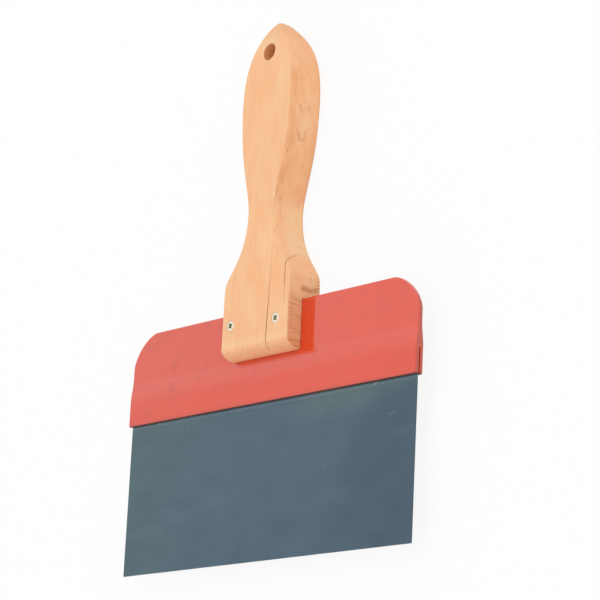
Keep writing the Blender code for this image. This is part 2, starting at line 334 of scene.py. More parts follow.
class Wire:
    """A shader socket that takes part in sums as a number does."""

    def __init__(self, paint: Paint, socket: bpy.types.NodeSocket) -> None:
        """Keep the socket and the paint that it belongs to."""
        self.paint = paint
        self.socket = socket

    def _sum(self, operation: str, *terms: Wire | float) -> Wire:
        """Return a Math node's result on some terms."""
        return self.paint.add("ShaderNodeMath", {"operation": operation}, dict(enumerate(terms)))

    def __add__(self, other: Wire | float) -> Wire:
        """Add."""
        return self._sum("ADD", self, other)

    def __radd__(self, other: float) -> Wire:
        """Add to a number."""
        return self._sum("ADD", other, self)

    def __sub__(self, other: Wire | float) -> Wire:
        """Take away."""
        return self._sum("SUBTRACT", self, other)

    def __rsub__(self, other: float) -> Wire:
        """Take away from a number."""
        return self._sum("SUBTRACT", other, self)

    def __mul__(self, other: Wire | float) -> Wire:
        """Multiply."""
        return self._sum("MULTIPLY", self, other)

    def __rmul__(self, other: float) -> Wire:
        """Multiply a number."""
        return self._sum("MULTIPLY", other, self)

    def __truediv__(self, other: Wire | float) -> Wire:
        """Divide."""
        return self._sum("DIVIDE", self, other)

    def __rtruediv__(self, other: float) -> Wire:
        """Divide a number."""
        return self._sum("DIVIDE", other, self)

    def __abs__(self) -> Wire:
        """Drop the sign."""
        return self._sum("ABSOLUTE", self)

    def root(self) -> Wire:
        """Return the square root."""
        return self._sum("SQRT", self)

    def part(self) -> Wire:
        """Return what lies after the decimal point."""
        return self._sum("FRACT", self)

    def rise(self, low: float, high: float) -> Wire:
        """Return 0 at low, 1 at high and a smooth step between; high may be the lesser."""
        return self.paint.add("ShaderNodeMapRange", {"interpolation_type": "SMOOTHSTEP"},
                              {"Value": self, "From Min": low, "From Max": high})

    def within(self, low: float, high: float, soft: float) -> Wire:
        """Return 1 between two values and 0 outside them, with soft flanks."""
        return self.rise(low - soft, low + soft) * self.rise(high + soft, high - soft)


class Paint:
    """A procedural material in the making, read on Object coordinates."""

    SEED_SHIFT = Vector((1.0, 1.7, -0.6))

    def __init__(self, name: str) -> None:
        """Start a material with its Principled shader.

        Args:
            name: Name of the material.
        """
        self.material = bpy.data.materials.new(name)
        self.material.use_nodes = True
        self.tree = self.material.node_tree
        self.shader = self.tree.nodes["Principled BSDF"]
        self.place = self.add("ShaderNodeTexCoord", output="Object")
        self.x, self.y, self.z = self.parts(self.place)
        self.facing = self.parts(self.add("ShaderNodeTexCoord", output="Normal"))

    def add(self, kind: str, settings: dict[str, object] | None = None,
            sockets: dict[str | int, object] | None = None, output: str | int = 0) -> Wire:
        """Add any node.

        Args:
            kind: The node's type.
            settings: The node's own settings, set first.
            sockets: Values or wires for its sockets.
            output: Name or number of the socket to return.

        Returns:
            A wire from that output.
        """
        node = self.tree.nodes.new(kind)
        for name, value in (settings or {}).items():
            setattr(node, name, value)
        for key, value in (sockets or {}).items():
            self.feed(node.inputs[key], value)
        return Wire(self, node.outputs[output])

    def feed(self, socket: bpy.types.NodeSocket, value: object) -> None:
        """Link a wire to a socket, or set the socket's value.

        Args:
            socket: The socket to feed.
            value: A wire, or a plain value.
        """
        if isinstance(value, Wire):
            self.tree.links.new(value.socket, socket)
        else:
            socket.default_value = value

    def set(self, **values: object) -> None:
        """Feed sockets of the Principled shader, named with underscores for spaces.

        Args:
            **values: A wire or a plain value for each socket.
        """
        for name, value in values.items():
            self.feed(self.shader.inputs[name.replace("_", " ")], value)

    def parts(self, vector: Wire) -> tuple[Wire, ...]:
        """Return a vector's X, Y and Z."""
        split = self.add("ShaderNodeSeparateXYZ", sockets={"Vector": vector}).socket.node
        return tuple(Wire(self, socket) for socket in split.outputs)

    def mark(self, mark: Mark) -> Wire:
        """Return 1 on the faces that a marked cut left and 0 elsewhere."""
        return self.add("ShaderNodeAttribute", {"attribute_name": mark.value}, output="Fac")

    def noise(self, grain: Grain) -> Wire:
        """Return a grain's soft noise.

        Args:
            grain: Size, seed and fineness of the noise.

        Returns:
            The noise, from 0 to 1 and mostly near a half.
        """
        scale = tuple(1 / size for size in grain.cell)
        shift = tuple(self.SEED_SHIFT * grain.seed)
        spot = self.add("ShaderNodeMapping", sockets={"Vector": self.place, "Scale": scale, "Location": shift})
        return self.add("ShaderNodeTexNoise", sockets={"Vector": spot, "Scale": 1.0, "Detail": grain.detail,
                                                       "Roughness": grain.rough})

    def spot(self, patch: Patch) -> Wire:
        """Return a patch as a soft spot.

        Args:
            patch: Middle, reach and share of the spot.

        Returns:
            The patch's share at its middle, falling to 0 at its reach.
        """
        scale = tuple(1 / size for size in patch.reach)
        shift = tuple(-place / size for place, size in zip(patch.centre, patch.reach))
        local = self.add("ShaderNodeMapping", sockets={"Vector": self.place, "Scale": scale, "Location": shift})
        far = self.add("ShaderNodeVectorMath", {"operation": "LENGTH"}, {0: local}, "Value")
        return far.rise(1.0, 0.0) * patch.share

    def stroke(self, scar: Scar) -> Wire:
        """Return a scar as a fine straight stroke.

        Args:
            scar: Ends, half width and share of the stroke.

        Returns:
            The scar's share along its middle, falling to 0 at its half width.
        """
        run = Vector(scar.end) - Vector(scar.start)
        away = self.add("ShaderNodeVectorMath", {"operation": "SUBTRACT"}, {0: self.place, 1: scar.start})
        along = self.add("ShaderNodeVectorMath", {"operation": "DOT_PRODUCT"},
                         {0: away, 1: tuple(run / run.length_squared)}, "Value")
        share = self.add("ShaderNodeClamp", sockets={"Value": along})
        foot = self.add("ShaderNodeVectorMath", {"operation": "SCALE"}, {0: tuple(run), "Scale": share})
        off = self.add("ShaderNodeVectorMath", {"operation": "DISTANCE"}, {0: away, 1: foot}, "Value")
        return off.rise(scar.width, 0.0) * scar.share

    def mix(self, base: Wire | Colour, over: Wire | Colour, share: Wire | float) -> Wire:
        """Return a colour with another laid over it.

        Args:
            base: The colour below.
            over: The colour above.
            share: How much of the colour above shows.

        Returns:
            The mixed colour.
        """
        first, second = (tone if isinstance(tone, Wire) else (*tone, 1.0) for tone in (base, over))
        return self.add("ShaderNodeMix", {"data_type": "RGBA", "clamp_factor": True},
                        {0: share, 6: first, 7: second}, 2)

    def shade(self, base: Wire, level: Wire) -> Wire:
        """Return a colour made darker or lighter by a level about 1."""
        return self.add("ShaderNodeVectorMath", {"operation": "SCALE"}, {0: base, "Scale": level})

    def bump(self, height: Wire, depth: float, under: Wire | None = None) -> Wire:
        """Return a normal for a height map.

        Args:
            height: The height map, from 0 to 1.
            depth: The real depth that 1 stands for.
            under: Another normal below it, if there is one.

        Returns:
            The bumped normal.
        """
        sockets: dict[str | int, object] = {"Height": height, "Distance": depth, "Strength": 1.0}
        if under is not None:
            sockets["Normal"] = under
        return self.add("ShaderNodeBump", sockets=sockets)


@dataclass(frozen=True)
class SandedWood:
    """Pale close-grained wood, sanded and left without varnish.

    A share given as two numbers is the least share and what a noise adds to it.
    """

    pale: Colour = (0.925, 0.553, 0.300)
    rosy: Colour = (0.940, 0.490, 0.248)
    amber: Colour = (0.76, 0.33, 0.128)
    fleck: Colour = (0.55, 0.200, 0.056)
    cream: Colour = (0.95, 0.70, 0.42)
    stain: Colour = (0.50, 0.135, 0.034)
    # Painted shade for the crack, the router's groove and the gaps round the screw heads
    crevice_shade: Colour = (0.20, 0.060, 0.004)
    bored: Colour = (0.81, 0.405, 0.160)
    planed: Colour = (1.0, 0.50, 0.25)
    fibre: Grain = Grain((0.00045, 0.014, 0.00045), 1.0, 3.0, 0.65)
    blotch: Grain = Grain((0.0068, 0.020, 0.010), 8.0, 5.0, 0.62)
    streaks: Grain = Grain((0.0017, 0.030, 0.004), 31.0, 3.0, 0.6)
    flecks: Grain = Grain((0.0008, 0.0042, 0.0011), 5.0, 1.0)
    mottle: Grain = Grain((0.004, 0.010, 0.0032), 12.0, 4.0, 0.6)
    wander: Grain = Grain((0.016, 0.085, 0.016), 3.0)
    pores: Grain = Grain((0.0026, 0.0009, 0.0009), 2.0, 3.0)
    crumbs: Grain = Grain((0.0012, 0.0012, 0.0012), 15.0)
    saw: Grain = Grain((0.03, 0.0014, 0.016), 9.0, 3.0, 0.6)
    blotch_rise: Span = (0.33, 0.69)
    streak_rise: Span = (0.42, 0.72)
    streak_share: float = 0.17
    fleck_rise: Span = (0.66, 0.76)
    fleck_share: Span = (0.06, 0.28)
    fibre_depth: float = 0.12
    roughness: float = 0.58
    specular: float = 0.35
    grain_depth: float = 0.00006
    sawn_depth: float = 0.00012

    # Year rings round a heart beside the right flank, which leans along the handle
    heart: Span = (0.045, 0.014)
    ring: float = 0.0032
    ring_wander: float = 0.004
    lean: float = 0.13
    lean_y: float = 0.085
    late_part: Window = (0.45, 0.85, 0.3)
    late_share: float = 0.06

    # Flanks: mottling, a darker strip along the front edge, a darker grip, a paler neck and painted shade near the
    # grip's back edge
    flank_turn: Span = (0.30, 0.54)
    mottle_rise: Span = (0.35, 0.72)
    mottle_share: Span = (0.07, 0.18)
    strip_depth: Span = (0.0052, 0.0030)
    strip_run: Window = (0.046, 0.124, 0.006)
    strip_share: Span = (0.16, 0.32)
    grip_slant: float = 0.13
    grip_start: Span = (0.0440, 0.0470)
    grip_end: Span = (0.100, 0.070)
    grip_share: float = 0.13
    back_shade_depth: Span = (0.014, 0.022)
    back_shade_share: float = 0.10
    neck_run: Window = (0.015, 0.0430, 0.003)
    neck_depth: Span = (0.002, 0.012)
    neck_share: float = 0.42

    # Sawn cheeks, sloped toe and hanging hole, with a painted highlight round the hole's rim
    sawn_run: Span = (0.006, 0.016)
    sawn_rise: Span = (0.46, 0.70)
    sawn_share: Span = (0.19, 0.54)
    toe_turn: Span = (-0.06, -0.30)
    toe_run: Span = (0.0062, 0.0046)
    toe_rise: Span = (0.44, 0.64)
    toe_share: float = 0.25
    planed_share: float = 0.40
    crest_run: Window = (0.0056, 0.0098, 0.0014)
    crest_share: float = 0.20
    rim_highlight_reach: Span = (0.0016, 0.0004)
    rim_highlight_share: float = 0.25
    bored_share: Span = (0.75, 0.3)
    tip_run: Span = (0.140, 0.156)
    tip_share: float = 0.16

    pale_patches: tuple[Patch, ...] = (
        Patch((0.000, 0.103, 0.023), (0.012, 0.012, 0.02), 0.20),
        Patch((0.005, 0.026, 0.023), (0.010, 0.020, 0.02), 0.26),
        Patch((0.013, 0.124, 0.023), (0.008, 0.032, 0.02), 0.24),
        Patch((0.022, 0.102, 0.0132), (0.010, 0.021, 0.0045), 0.16),
        Patch((-0.004, 0.146, 0.023), (0.016, 0.016, 0.02), 0.30),
        Patch((0.020, -0.026, 0.023), (0.010, 0.022, 0.02), 0.16),
    )
    rosy_patches: tuple[Patch, ...] = (
        Patch((-0.012, -0.026, 0.023), (0.009, 0.018, 0.02), 0.75),
        Patch((0.002, 0.122, 0.023), (0.008, 0.016, 0.02), 0.60),
        Patch((0.017, 0.068, 0.023), (0.007, 0.016, 0.02), 0.70),
        Patch((-0.012, 0.052, 0.023), (0.007, 0.012, 0.02), 0.60),
    )
    scars: tuple[Scar, ...] = (
        Scar((0.0134, 0.0300, 0.0225), (0.0138, 0.0238, 0.0222), 0.0006, 0.85),
        Scar((0.0126, 0.0408, 0.0186), (0.0128, 0.0388, 0.0186), 0.0006, 0.75),
        Scar((0.0153, 0.0590, 0.0204), (0.0152, 0.0562, 0.0204), 0.0007, 0.60),
        Scar((0.0196, 0.0778, 0.0213), (0.0193, 0.0735, 0.0214), 0.0006, 0.70),
        Scar((-0.0196, -0.0255, 0.0230), (-0.0206, -0.0271, 0.0230), 0.0007, 0.6),
    )
    # Painted shade in brown along the crack and along the step where a router left off
    creases: tuple[Scar, ...] = (
        Scar((0.0094, -0.0404, 0.0190), (0.0110, -0.0371, 0.0228), 0.0009, 0.70),
        Scar((0.0105, -0.0356, 0.0230), (0.0111, -0.0180, 0.0230), 0.0008, 0.45),
        Scar((0.0111, -0.0180, 0.0230), (0.0118, -0.0039, 0.0230), 0.0007, 0.60),
        Scar((0.0118, -0.0039, 0.0230), (0.0123, 0.0066, 0.0230), 0.0006, 0.60),
        Scar((0.0123, 0.0066, 0.0230), (0.0126, 0.0180, 0.0230), 0.0006, 0.28),
        Scar((0.0249, -0.0060, 0.0230), (0.0249, 0.0060, 0.0229), 0.0008, 0.45),
        Scar((0.0249, 0.0060, 0.0229), (0.0229, 0.0110, 0.0187), 0.0009, 0.65),
        Scar((0.0229, 0.0110, 0.0187), (0.0208, 0.0142, 0.0124), 0.0011, 0.42),
        Scar((0.0208, 0.0142, 0.0124), (0.0195, 0.0163, 0.0068), 0.0012, 0.15),
    )

    # Small brown figure on the right flank
    figure: tuple[Scar, ...] = (
        Scar((0.0217, 0.0871, 0.0161), (0.0212, 0.0830, 0.0145), 0.0018, 0.42),
        Scar((0.0211, 0.0826, 0.0138), (0.0212, 0.0826, 0.0114), 0.0016, 0.34),
        Scar((0.0213, 0.0836, 0.0107), (0.0218, 0.0876, 0.0104), 0.0014, 0.32),
        Scar((0.0228, 0.1018, 0.0163), (0.0227, 0.0994, 0.0151), 0.0018, 0.32),
        Scar((0.0229, 0.1025, 0.0098), (0.0228, 0.1000, 0.0090), 0.0018, 0.26),
        Scar((0.0223, 0.1201, 0.0163), (0.0224, 0.1189, 0.0137), 0.0016, 0.12),
        Scar((0.0224, 0.1189, 0.0137), (0.0221, 0.1215, 0.0124), 0.0016, 0.12),
    )

    # Smudge and saw ticks above the holder on the right cheek
    smudges: tuple[Scar, ...] = (
        Scar((0.0291, -0.0066, 0.0128), (0.0291, -0.0068, 0.0094), 0.0028, 0.80),
        Scar((0.0291, -0.0072, 0.0076), (0.0291, -0.0066, 0.0044), 0.0024, 0.65),
        Scar((0.0291, -0.0056, 0.0034), (0.0291, -0.0060, 0.0012), 0.0020, 0.50),
    )
    ticks: tuple[Scar, ...] = tuple(
        Scar((0.0290, y, 0.0036), (0.0290, y + 0.0003, 0.0004), 0.0006, 0.5) for y in (0.0010, -0.0010, -0.0030, -0.0048)
    )
    knot: Scar = Scar((0.0114, 0.0514, 0.0229), (0.0113, 0.0486, 0.0228), 0.0009, 0.7)

    def make(self, handle: Handle) -> bpy.types.Material:
        """Return the wood, with the marks that sawing, drilling and screwing left on this handle.

        Args:
            handle: The handle, for the places of its features.

        Returns:
            The finished material.
        """
        paint = Paint("sanded_wood")
        fibre = paint.noise(self.fibre)
        late = self.latewood(paint)
        flank = abs(paint.facing[0]).rise(*self.flank_turn)
        fleck = paint.noise(self.flecks).rise(*self.fleck_rise)
        pores = paint.noise(self.pores)
        saw = paint.noise(self.saw)
        sawn = flank * paint.y.rise(handle.shoulder_y - self.sawn_run[0], handle.shoulder_y - self.sawn_run[1])
        toe = paint.facing[1].rise(*self.toe_turn)
        toe = toe * paint.y.rise(handle.toe_y + self.toe_run[0], handle.toe_y + self.toe_run[1])
        tone = self.tint_faces(paint, late)
        tone = self.tint_flank(paint, handle, tone, flank)
        tone = paint.mix(tone, self.fleck, fleck * (self.fleck_share[0] + flank * self.fleck_share[1]))
        tone = paint.shade(tone, 1.0 + (fibre - 0.5) * self.fibre_depth)
        crest = (paint.y - handle.toe_y).within(*self.crest_run) * (1.0 - toe)
        tone = paint.mix(tone, self.cream, crest * self.crest_share)
        tone = paint.mix(tone, self.planed, toe * self.planed_share)
        tone = paint.mix(tone, self.amber, toe * pores.rise(*self.toe_rise) * self.toe_share)
        tone = self.scar(paint, tone)
        lines = saw.rise(*self.sawn_rise)
        tone = paint.mix(tone, self.fleck, sawn * (self.sawn_share[0] + lines * self.sawn_share[1]))
        tone = self.tint_hole(paint, handle, tone, fibre)
        # Painted shade on the faces of the crack, the router's groove and the gaps round the screw heads
        tone = paint.mix(tone, self.crevice_shade, paint.mark(Mark.GROOVE))
        rough = self.roughness + (fibre - 0.5) * 0.16 - late * 0.05 + paint.mark(Mark.GROOVE) * 0.4
        paint.set(Base_Color=tone, Roughness=rough, Specular_IOR_Level=self.specular)
        ground = paint.bump(fibre * 0.7 - fleck * 0.3 + late * 0.25, self.grain_depth)
        paint.set(Normal=paint.bump(sawn * saw + toe * pores, self.sawn_depth, ground))
        return paint.material

    def latewood(self, paint: Paint) -> Wire:
        """Return the dark part of each year's ring.

        Args:
            paint: The material in the making.

        Returns:
            1 on the dark part and 0 on the pale part.
        """
        far_x = paint.x - self.heart[0]
        far_z = paint.z - self.heart[1] - (paint.y - self.lean_y) * self.lean
        radius = (far_x * far_x + far_z * far_z).root() + (paint.noise(self.wander) - 0.5) * self.ring_wander
        return (radius / self.ring).part().within(*self.late_part)

    def tint_faces(self, paint: Paint, late: Wire) -> Wire:
        """Return the wood's ground tone, blotched and ringed.

        Args:
            paint: The material in the making.
            late: 1 on the dark part of each year's ring.

        Returns:
            The ground tone.
        """
        tone = paint.mix(self.pale, self.rosy, paint.noise(self.blotch).rise(*self.blotch_rise))
        for patch in self.rosy_patches:
            tone = paint.mix(tone, self.rosy, paint.spot(patch))
        for patch in self.pale_patches:
            tone = paint.mix(tone, self.cream, paint.spot(patch))
        tone = paint.mix(tone, self.amber, paint.noise(self.streaks).rise(*self.streak_rise) * self.streak_share)
        tone = paint.mix(tone, self.stain, paint.y.rise(*self.tip_run) * self.tip_share)
        return paint.mix(tone, self.amber, late * self.late_share)

    def tint_flank(self, paint: Paint, handle: Handle, tone: Wire, flank: Wire) -> Wire:
        """Lay the mottling, dark strip, dark grip and pale neck of the flanks, and painted shade near the grip's back
        edge, over a tone.

        Args:
            paint: The material in the making.
            handle: The handle, for its places.
            tone: The colour so far.
            flank: 1 on the flanks and 0 on the flat faces.

        Returns:
            The tinted colour.
        """
        depth = handle.front_z - paint.z
        mottle = paint.noise(self.mottle).rise(*self.mottle_rise)
        above = (paint.y - depth * self.grip_slant).rise(*self.grip_start)
        grip = above * paint.y.rise(*self.grip_end)
        strip = depth.rise(*self.strip_depth) * paint.y.within(*self.strip_run)
        neck = paint.y.within(*self.neck_run) * depth.rise(*self.neck_depth)
        amount = mottle * (self.mottle_share[0] + above * self.mottle_share[1]) + grip * self.grip_share
        amount = amount + strip * (self.strip_share[0] + mottle * self.strip_share[1])
        tone = paint.mix(tone, self.cream, flank * neck * self.neck_share)
        tone = paint.mix(tone, self.amber, flank * amount)
        # Painted shade along the grip's back edge
        return paint.mix(tone, self.stain, flank * grip * depth.rise(*self.back_shade_depth) * self.back_shade_share)

    def tint_hole(self, paint: Paint, handle: Handle, tone: Wire, fibre: Wire) -> Wire:
        """Lay the painted highlight round the rim and the darker wall of the hanging hole over a tone.

        Args:
            paint: The material in the making.
            handle: The handle, for the place of its hole.
            tone: The colour so far.
            fibre: The fine grain.

        Returns:
            The colour with the hole.
        """
        off_x = paint.x - handle.hole_x
        off_y = paint.y - handle.hole_y
        from_wall = (off_x * off_x + off_y * off_y).root() - handle.hole_radius
        # Painted highlight on the wood round the hole's rim
        tone = paint.mix(tone, self.cream, from_wall.rise(*self.rim_highlight_reach) * self.rim_highlight_share)
        bored = paint.mark(Mark.BORE) * (self.bored_share[0] + fibre * self.bored_share[1])
        return paint.mix(tone, self.bored, bored)

    def scar(self, paint: Paint, tone: Wire) -> Wire:
        """Lay the small marks of growth and handling, and the painted shade along the crack and the router's step,
        over a tone.

        Args:
            paint: The material in the making.
            tone: The colour so far.

        Returns:
            The marked colour.
        """
        crumbs = paint.noise(self.crumbs).rise(0.30, 0.60)
        for scar in self.scars:
            tone = paint.mix(tone, self.fleck, paint.stroke(scar) * crumbs)
        # Painted shade along the crack and the router's step, and the saw ticks
        for crease in self.creases + self.ticks:
            tone = paint.mix(tone, self.fleck, paint.stroke(crease))
        for smudge in self.figure + self.smudges:
            tone = paint.mix(tone, self.stain, paint.stroke(smudge) * (0.5 + crumbs * 0.5))
        return paint.mix(tone, self.cream, paint.stroke(self.knot))


@dataclass(frozen=True)
class GlossyMoulding:
    """Deep red plastic with a clear shine, duller on the jaw and lightly smeared in use."""

    red: Colour = (0.752, 0.047, 0.008)
    dull: Colour = (0.665, 0.054, 0.015)
    shadow: Colour = (0.085, 0.026, 0.017)
    # Scuffed end faces, also painted darker as shade
    scuffed_and_shaded: Colour = (0.36, 0.105, 0.070)
    # Near-black: dirt for the speck, and painted shade in the mouth at the lip
    grime_and_shade: Colour = (0.045, 0.017, 0.012)
    cloud: Grain = Grain((0.030, 0.022, 0.030), 4.0, 3.0)
    streak: Grain = Grain((0.0035, 0.040, 0.01), 7.0, 3.0)
    smear: Grain = Grain((0.055, 0.009, 0.03), 2.0)
    smudge: Grain = Grain((0.0100, 0.0080, 0.009), 17.0)
    peel: Grain = Grain((0.0035, 0.0035, 0.0035), 11.0)
    peel_depth: float = 0.00001
    left_run: Span = (0.06, -0.08)
    cloud_rise: Span = (0.35, 0.75)
    streak_rise: Span = (0.5, 0.8)
    smear_rise: Span = (0.5, 0.8)
    smudge_rise: Span = (0.50, 0.80)
    scuff_and_shade_turn: Span = (0.7, 0.95)
    scuff_and_shade_share: float = 0.55
    shine: float = 0.07
    coat_roughness: float = 0.04
    specular: float = 0.54

    # The dull jaw ends above in a soft uneven line
    jaw_edge: Span = (0.003, -0.004)
    jaw_wander: float = 0.008
    jaw_loss: float = 0.27
    left_loss: float = 0.10

    # The flare starts a little steeper just below the handle's toe, and lies in its shade there
    sink_run: Span = (0.0008, 0.0046)
    sink_depth: float = 0.00036
    contact_reach: float = 0.0034
    contact_shade: float = 0.20

    # The lip's underside lies in shadow
    lip_turn: Span = (-0.10, -0.60)
    lip_share: float = 0.92
    lip_run: Span = (0.0026, 0.0004)
    lip_shade: float = 0.15

    speck: Scar = Scar((-0.0617, -0.0457, 0.0135), (-0.0614, -0.0456, 0.0135), 0.0010, 0.6)

    def make(self, holder: Holder) -> bpy.types.Material:
        """Return the plastic, with its worn jaw and smears, its scuffed ends partly painted darker as shade, and
        painted shade under the toe, at the lip and in the mouth.

        Args:
            holder: The holder, for the places of its jaw and ends.

        Returns:
            The finished material.
        """
        paint = Paint("glossy_moulding")
        cloud = paint.noise(self.cloud)
        smear = paint.noise(self.smear).rise(*self.smear_rise)
        left = paint.x.rise(*self.left_run)
        scuff_and_shade = abs(paint.facing[0]).rise(*self.scuff_and_shade_turn)
        groove = paint.mark(Mark.GROOVE)
        below = holder.toe_y - paint.y
        contact = abs(paint.x).rise(holder.toe_half, holder.toe_half - MARGIN) * below.rise(self.contact_reach, 0.0)
        lip = paint.facing[1].rise(*self.lip_turn) * paint.y.rise(holder.jaw_top, holder.lip_y)
        edge = (paint.y - holder.lip_y).rise(*self.lip_run)
        tone = self.tint(paint, left, cloud)
        tone = paint.shade(tone, 1.0 - contact * self.contact_shade - edge * self.lip_shade)
        tone = paint.mix(tone, self.shadow, lip * self.lip_share)
        # The end faces: matt and scuffed, and painted darker as shade
        tone = paint.mix(tone, self.scuffed_and_shaded, scuff_and_shade * self.scuff_and_shade_share)
        tone = paint.mix(tone, self.grime_and_shade, paint.stroke(self.speck))
        # The mouth's faces are painted near-black as shade in the recess
        tone = paint.mix(tone, self.grime_and_shade, groove)
        line = paint.y + (cloud - 0.5) * self.jaw_wander - holder.jaw_top
        coat = 1.0 - line.rise(*self.jaw_edge) * self.jaw_loss - left * self.left_loss - scuff_and_shade * 0.3
        coat = coat * (1.0 - groove) * (1.0 - lip)
        shine = self.shine + cloud * 0.05 + smear * 0.07 + scuff_and_shade * 0.2 + groove * 0.5 + lip * 0.4
        paint.set(Base_Color=tone, Roughness=shine, Coat_Weight=coat)
        paint.set(Coat_Roughness=self.coat_roughness, Specular_IOR_Level=self.specular)
        peel = paint.bump(paint.noise(self.peel), self.peel_depth)
        paint.set(Normal=paint.bump(below.rise(*self.sink_run), self.sink_depth, peel))
        return paint.material

    def tint(self, paint: Paint, left: Wire, cloud: Wire) -> Wire:
        """Return the red, clouded, streaked and smudged, more so on the left.

        Args:
            paint: The material in the making.
            left: 1 at the left end, falling to 0 right of the middle.
            cloud: The large soft noise.

        Returns:
            The tinted red.
        """
        streak = paint.noise(self.streak).rise(*self.streak_rise)
        smudge = paint.noise(self.smudge).rise(*self.smudge_rise)
        dulled = left * 0.25 + cloud.rise(*self.cloud_rise) * 0.2 + streak * 0.12
        return paint.shade(paint.mix(self.red, self.dull, dulled), 1.0 - smudge * (0.05 + left * 0.07))


@dataclass(frozen=True)
class BluedSheet:
    """Tempered spring steel with its blue-grey scale, lightly clouded, wiped and scratched."""

    blue: Colour = (0.094, 0.144, 0.190)
    olive: Colour = (0.098, 0.153, 0.173)
    violet: Colour = (0.081, 0.124, 0.162)
    straw: Colour = (0.124, 0.175, 0.182)
    bare: Colour = (0.36, 0.40, 0.40)
    cloud: Grain = Grain((0.060, 0.045, 0.05), 5.0, 4.0)
    haze: Grain = Grain((0.024, 0.012, 0.02), 9.0, 4.0)
    lines: Grain = Grain((0.050, 0.0007, 0.01), 3.0, 3.0)
    dust: Grain = Grain((0.0012, 0.0012, 0.0012), 8.0, 0.0)
    dust_rise: Span = (0.87, 0.90)
    drift_wander: float = 0.12
    drift_slant: float = 0.3
    olive_run: Span = (-0.125, -0.015)
    violet_run: Span = (0.035, 0.115)
    lip_run: Span = (-0.009, -0.001)
    # Painted highlight on the blade just below the lip
    lip_highlight_run: Span = (-0.0026, -0.0004)
    lip_highlight_gain: float = 0.62
    foot_run: Span = (-0.095, -0.150)
    foot_loss: float = 0.040
    warm: Patch = Patch((0.060, -0.072, 0.0118), (0.066, 0.016, 0.02), 0.90)
    edge_run: Span = (0.0006, 0.0001)
    line_depth: float = 0.000012
    metallic: float = 0.85
    roughness: float = 0.40
    scratches: tuple[Scar, ...] = (
        Scar((0.1048, -0.0877, 0.0118), (0.1100, -0.0865, 0.0118), 0.0012, 0.13),
        Scar((0.0484, -0.0788, 0.0118), (0.0500, -0.0785, 0.0118), 0.0013, 0.13),
        Scar((0.1085, -0.0968, 0.0118), (0.1235, -0.0962, 0.0118), 0.0016, 0.05),
        Scar((0.1100, -0.0992, 0.0118), (0.1200, -0.0986, 0.0118), 0.0014, 0.04),
        Scar((-0.0705, -0.0756, 0.0118), (-0.0703, -0.0764, 0.0118), 0.0008, 0.28),
        Scar((0.0523, -0.1105, 0.0118), (0.0529, -0.1112, 0.0118), 0.0008, 0.16),
        Scar((-0.0215, -0.1505, 0.0118), (-0.0205, -0.1507, 0.0118), 0.0008, 0.16),
        Scar((-0.0992, -0.0690, 0.0118), (-0.0978, -0.0688, 0.0118), 0.0010, 0.80),
        Scar((0.0915, -0.0694, 0.0118), (0.0935, -0.0686, 0.0118), 0.0010, 0.85),
        Scar((-0.1210, -0.1345, 0.0118), (-0.0910, -0.1335, 0.0118), 0.0055, 0.035),
        Scar((-0.0800, -0.1275, 0.0118), (-0.0200, -0.1180, 0.0118), 0.0055, 0.035),
    )

    def make(self, blade: Blade) -> bpy.types.Material:
        """Return the steel, with its clouds, rolling lines and scratches.

        Args:
            blade: The blade, for its place.

        Returns:
            The finished material.
        """
        paint = Paint("blued_sheet")
        cloud = paint.noise(self.cloud)
        haze = paint.noise(self.haze)
        lines = paint.noise(self.lines)
        drift = paint.x + (cloud - 0.5) * self.drift_wander - (paint.y - blade.middle_y) * self.drift_slant
        tone = paint.mix(self.olive, self.blue, drift.rise(*self.olive_run))
        tone = paint.mix(tone, self.violet, drift.rise(*self.violet_run))
        lip = (paint.y - blade.lip_y).rise(*self.lip_run)
        tone = paint.mix(tone, self.straw, lip * cloud.rise(0.35, 0.6) * 0.45)
        tone = paint.mix(tone, self.straw, paint.spot(self.warm))
        # Painted highlight on the blade just below the lip
        glow = (paint.y - blade.lip_y).rise(*self.lip_highlight_run) * self.lip_highlight_gain
        foot = paint.y.rise(*self.foot_run) * self.foot_loss
        tone = paint.shade(tone, 0.755 + lines * 0.18 + haze * 0.31 + glow - foot)
        for scratch in self.scratches:
            tone = paint.mix(tone, self.bare, paint.stroke(scratch))
        tone = paint.mix(tone, self.bare, paint.noise(self.dust).rise(*self.dust_rise) * 0.3)
        edge = (paint.y - blade.low.y).rise(*self.edge_run)
        tone = paint.mix(tone, self.bare, edge * haze.rise(0.45, 0.65) * 0.35)
        paint.set(Base_Color=tone, Roughness=self.roughness + (haze - 0.5) * 0.14 + lines * 0.06)
        paint.set(Metallic=self.metallic, Normal=paint.bump(lines, self.line_depth))
        return paint.material


@dataclass(frozen=True)
class BrightZinc:
    """Bright zinc plating with grime in the driver's recess."""

    bright: Colour = (0.89, 0.82, 0.73)
    grime_and_shade: Colour = (0.40, 0.36, 0.16)
    stain: Grain = Grain((0.0009, 0.0009, 0.0009), 2.0)
    turned: Grain = Grain((0.0003, 0.0003, 0.001), 4.0, 1.0)
    stain_rise: Span = (0.55, 0.8)
    stain_share: float = 0.30
    sunk_share: float = 0.9
    turned_depth: float = 0.000015
    roughness: float = 0.24

    def make(self) -> bpy.types.Material:
        """Return the plating, stained and dark where the recess is sunk.

        Returns:
            The finished material.
        """
        paint = Paint("bright_zinc")
        sunk = paint.mark(Mark.GROOVE)
        stain = paint.noise(self.stain)
        dirt = sunk * self.sunk_share + stain.rise(*self.stain_rise) * self.stain_share
        paint.set(Base_Color=paint.mix(self.bright, self.grime_and_shade, dirt), Metallic=1.0 - sunk * 0.6)
        paint.set(Roughness=self.roughness + stain * 0.16 + sunk * 0.3)
        paint.set(Normal=paint.bump(paint.noise(self.turned), self.turned_depth))
        return paint.material


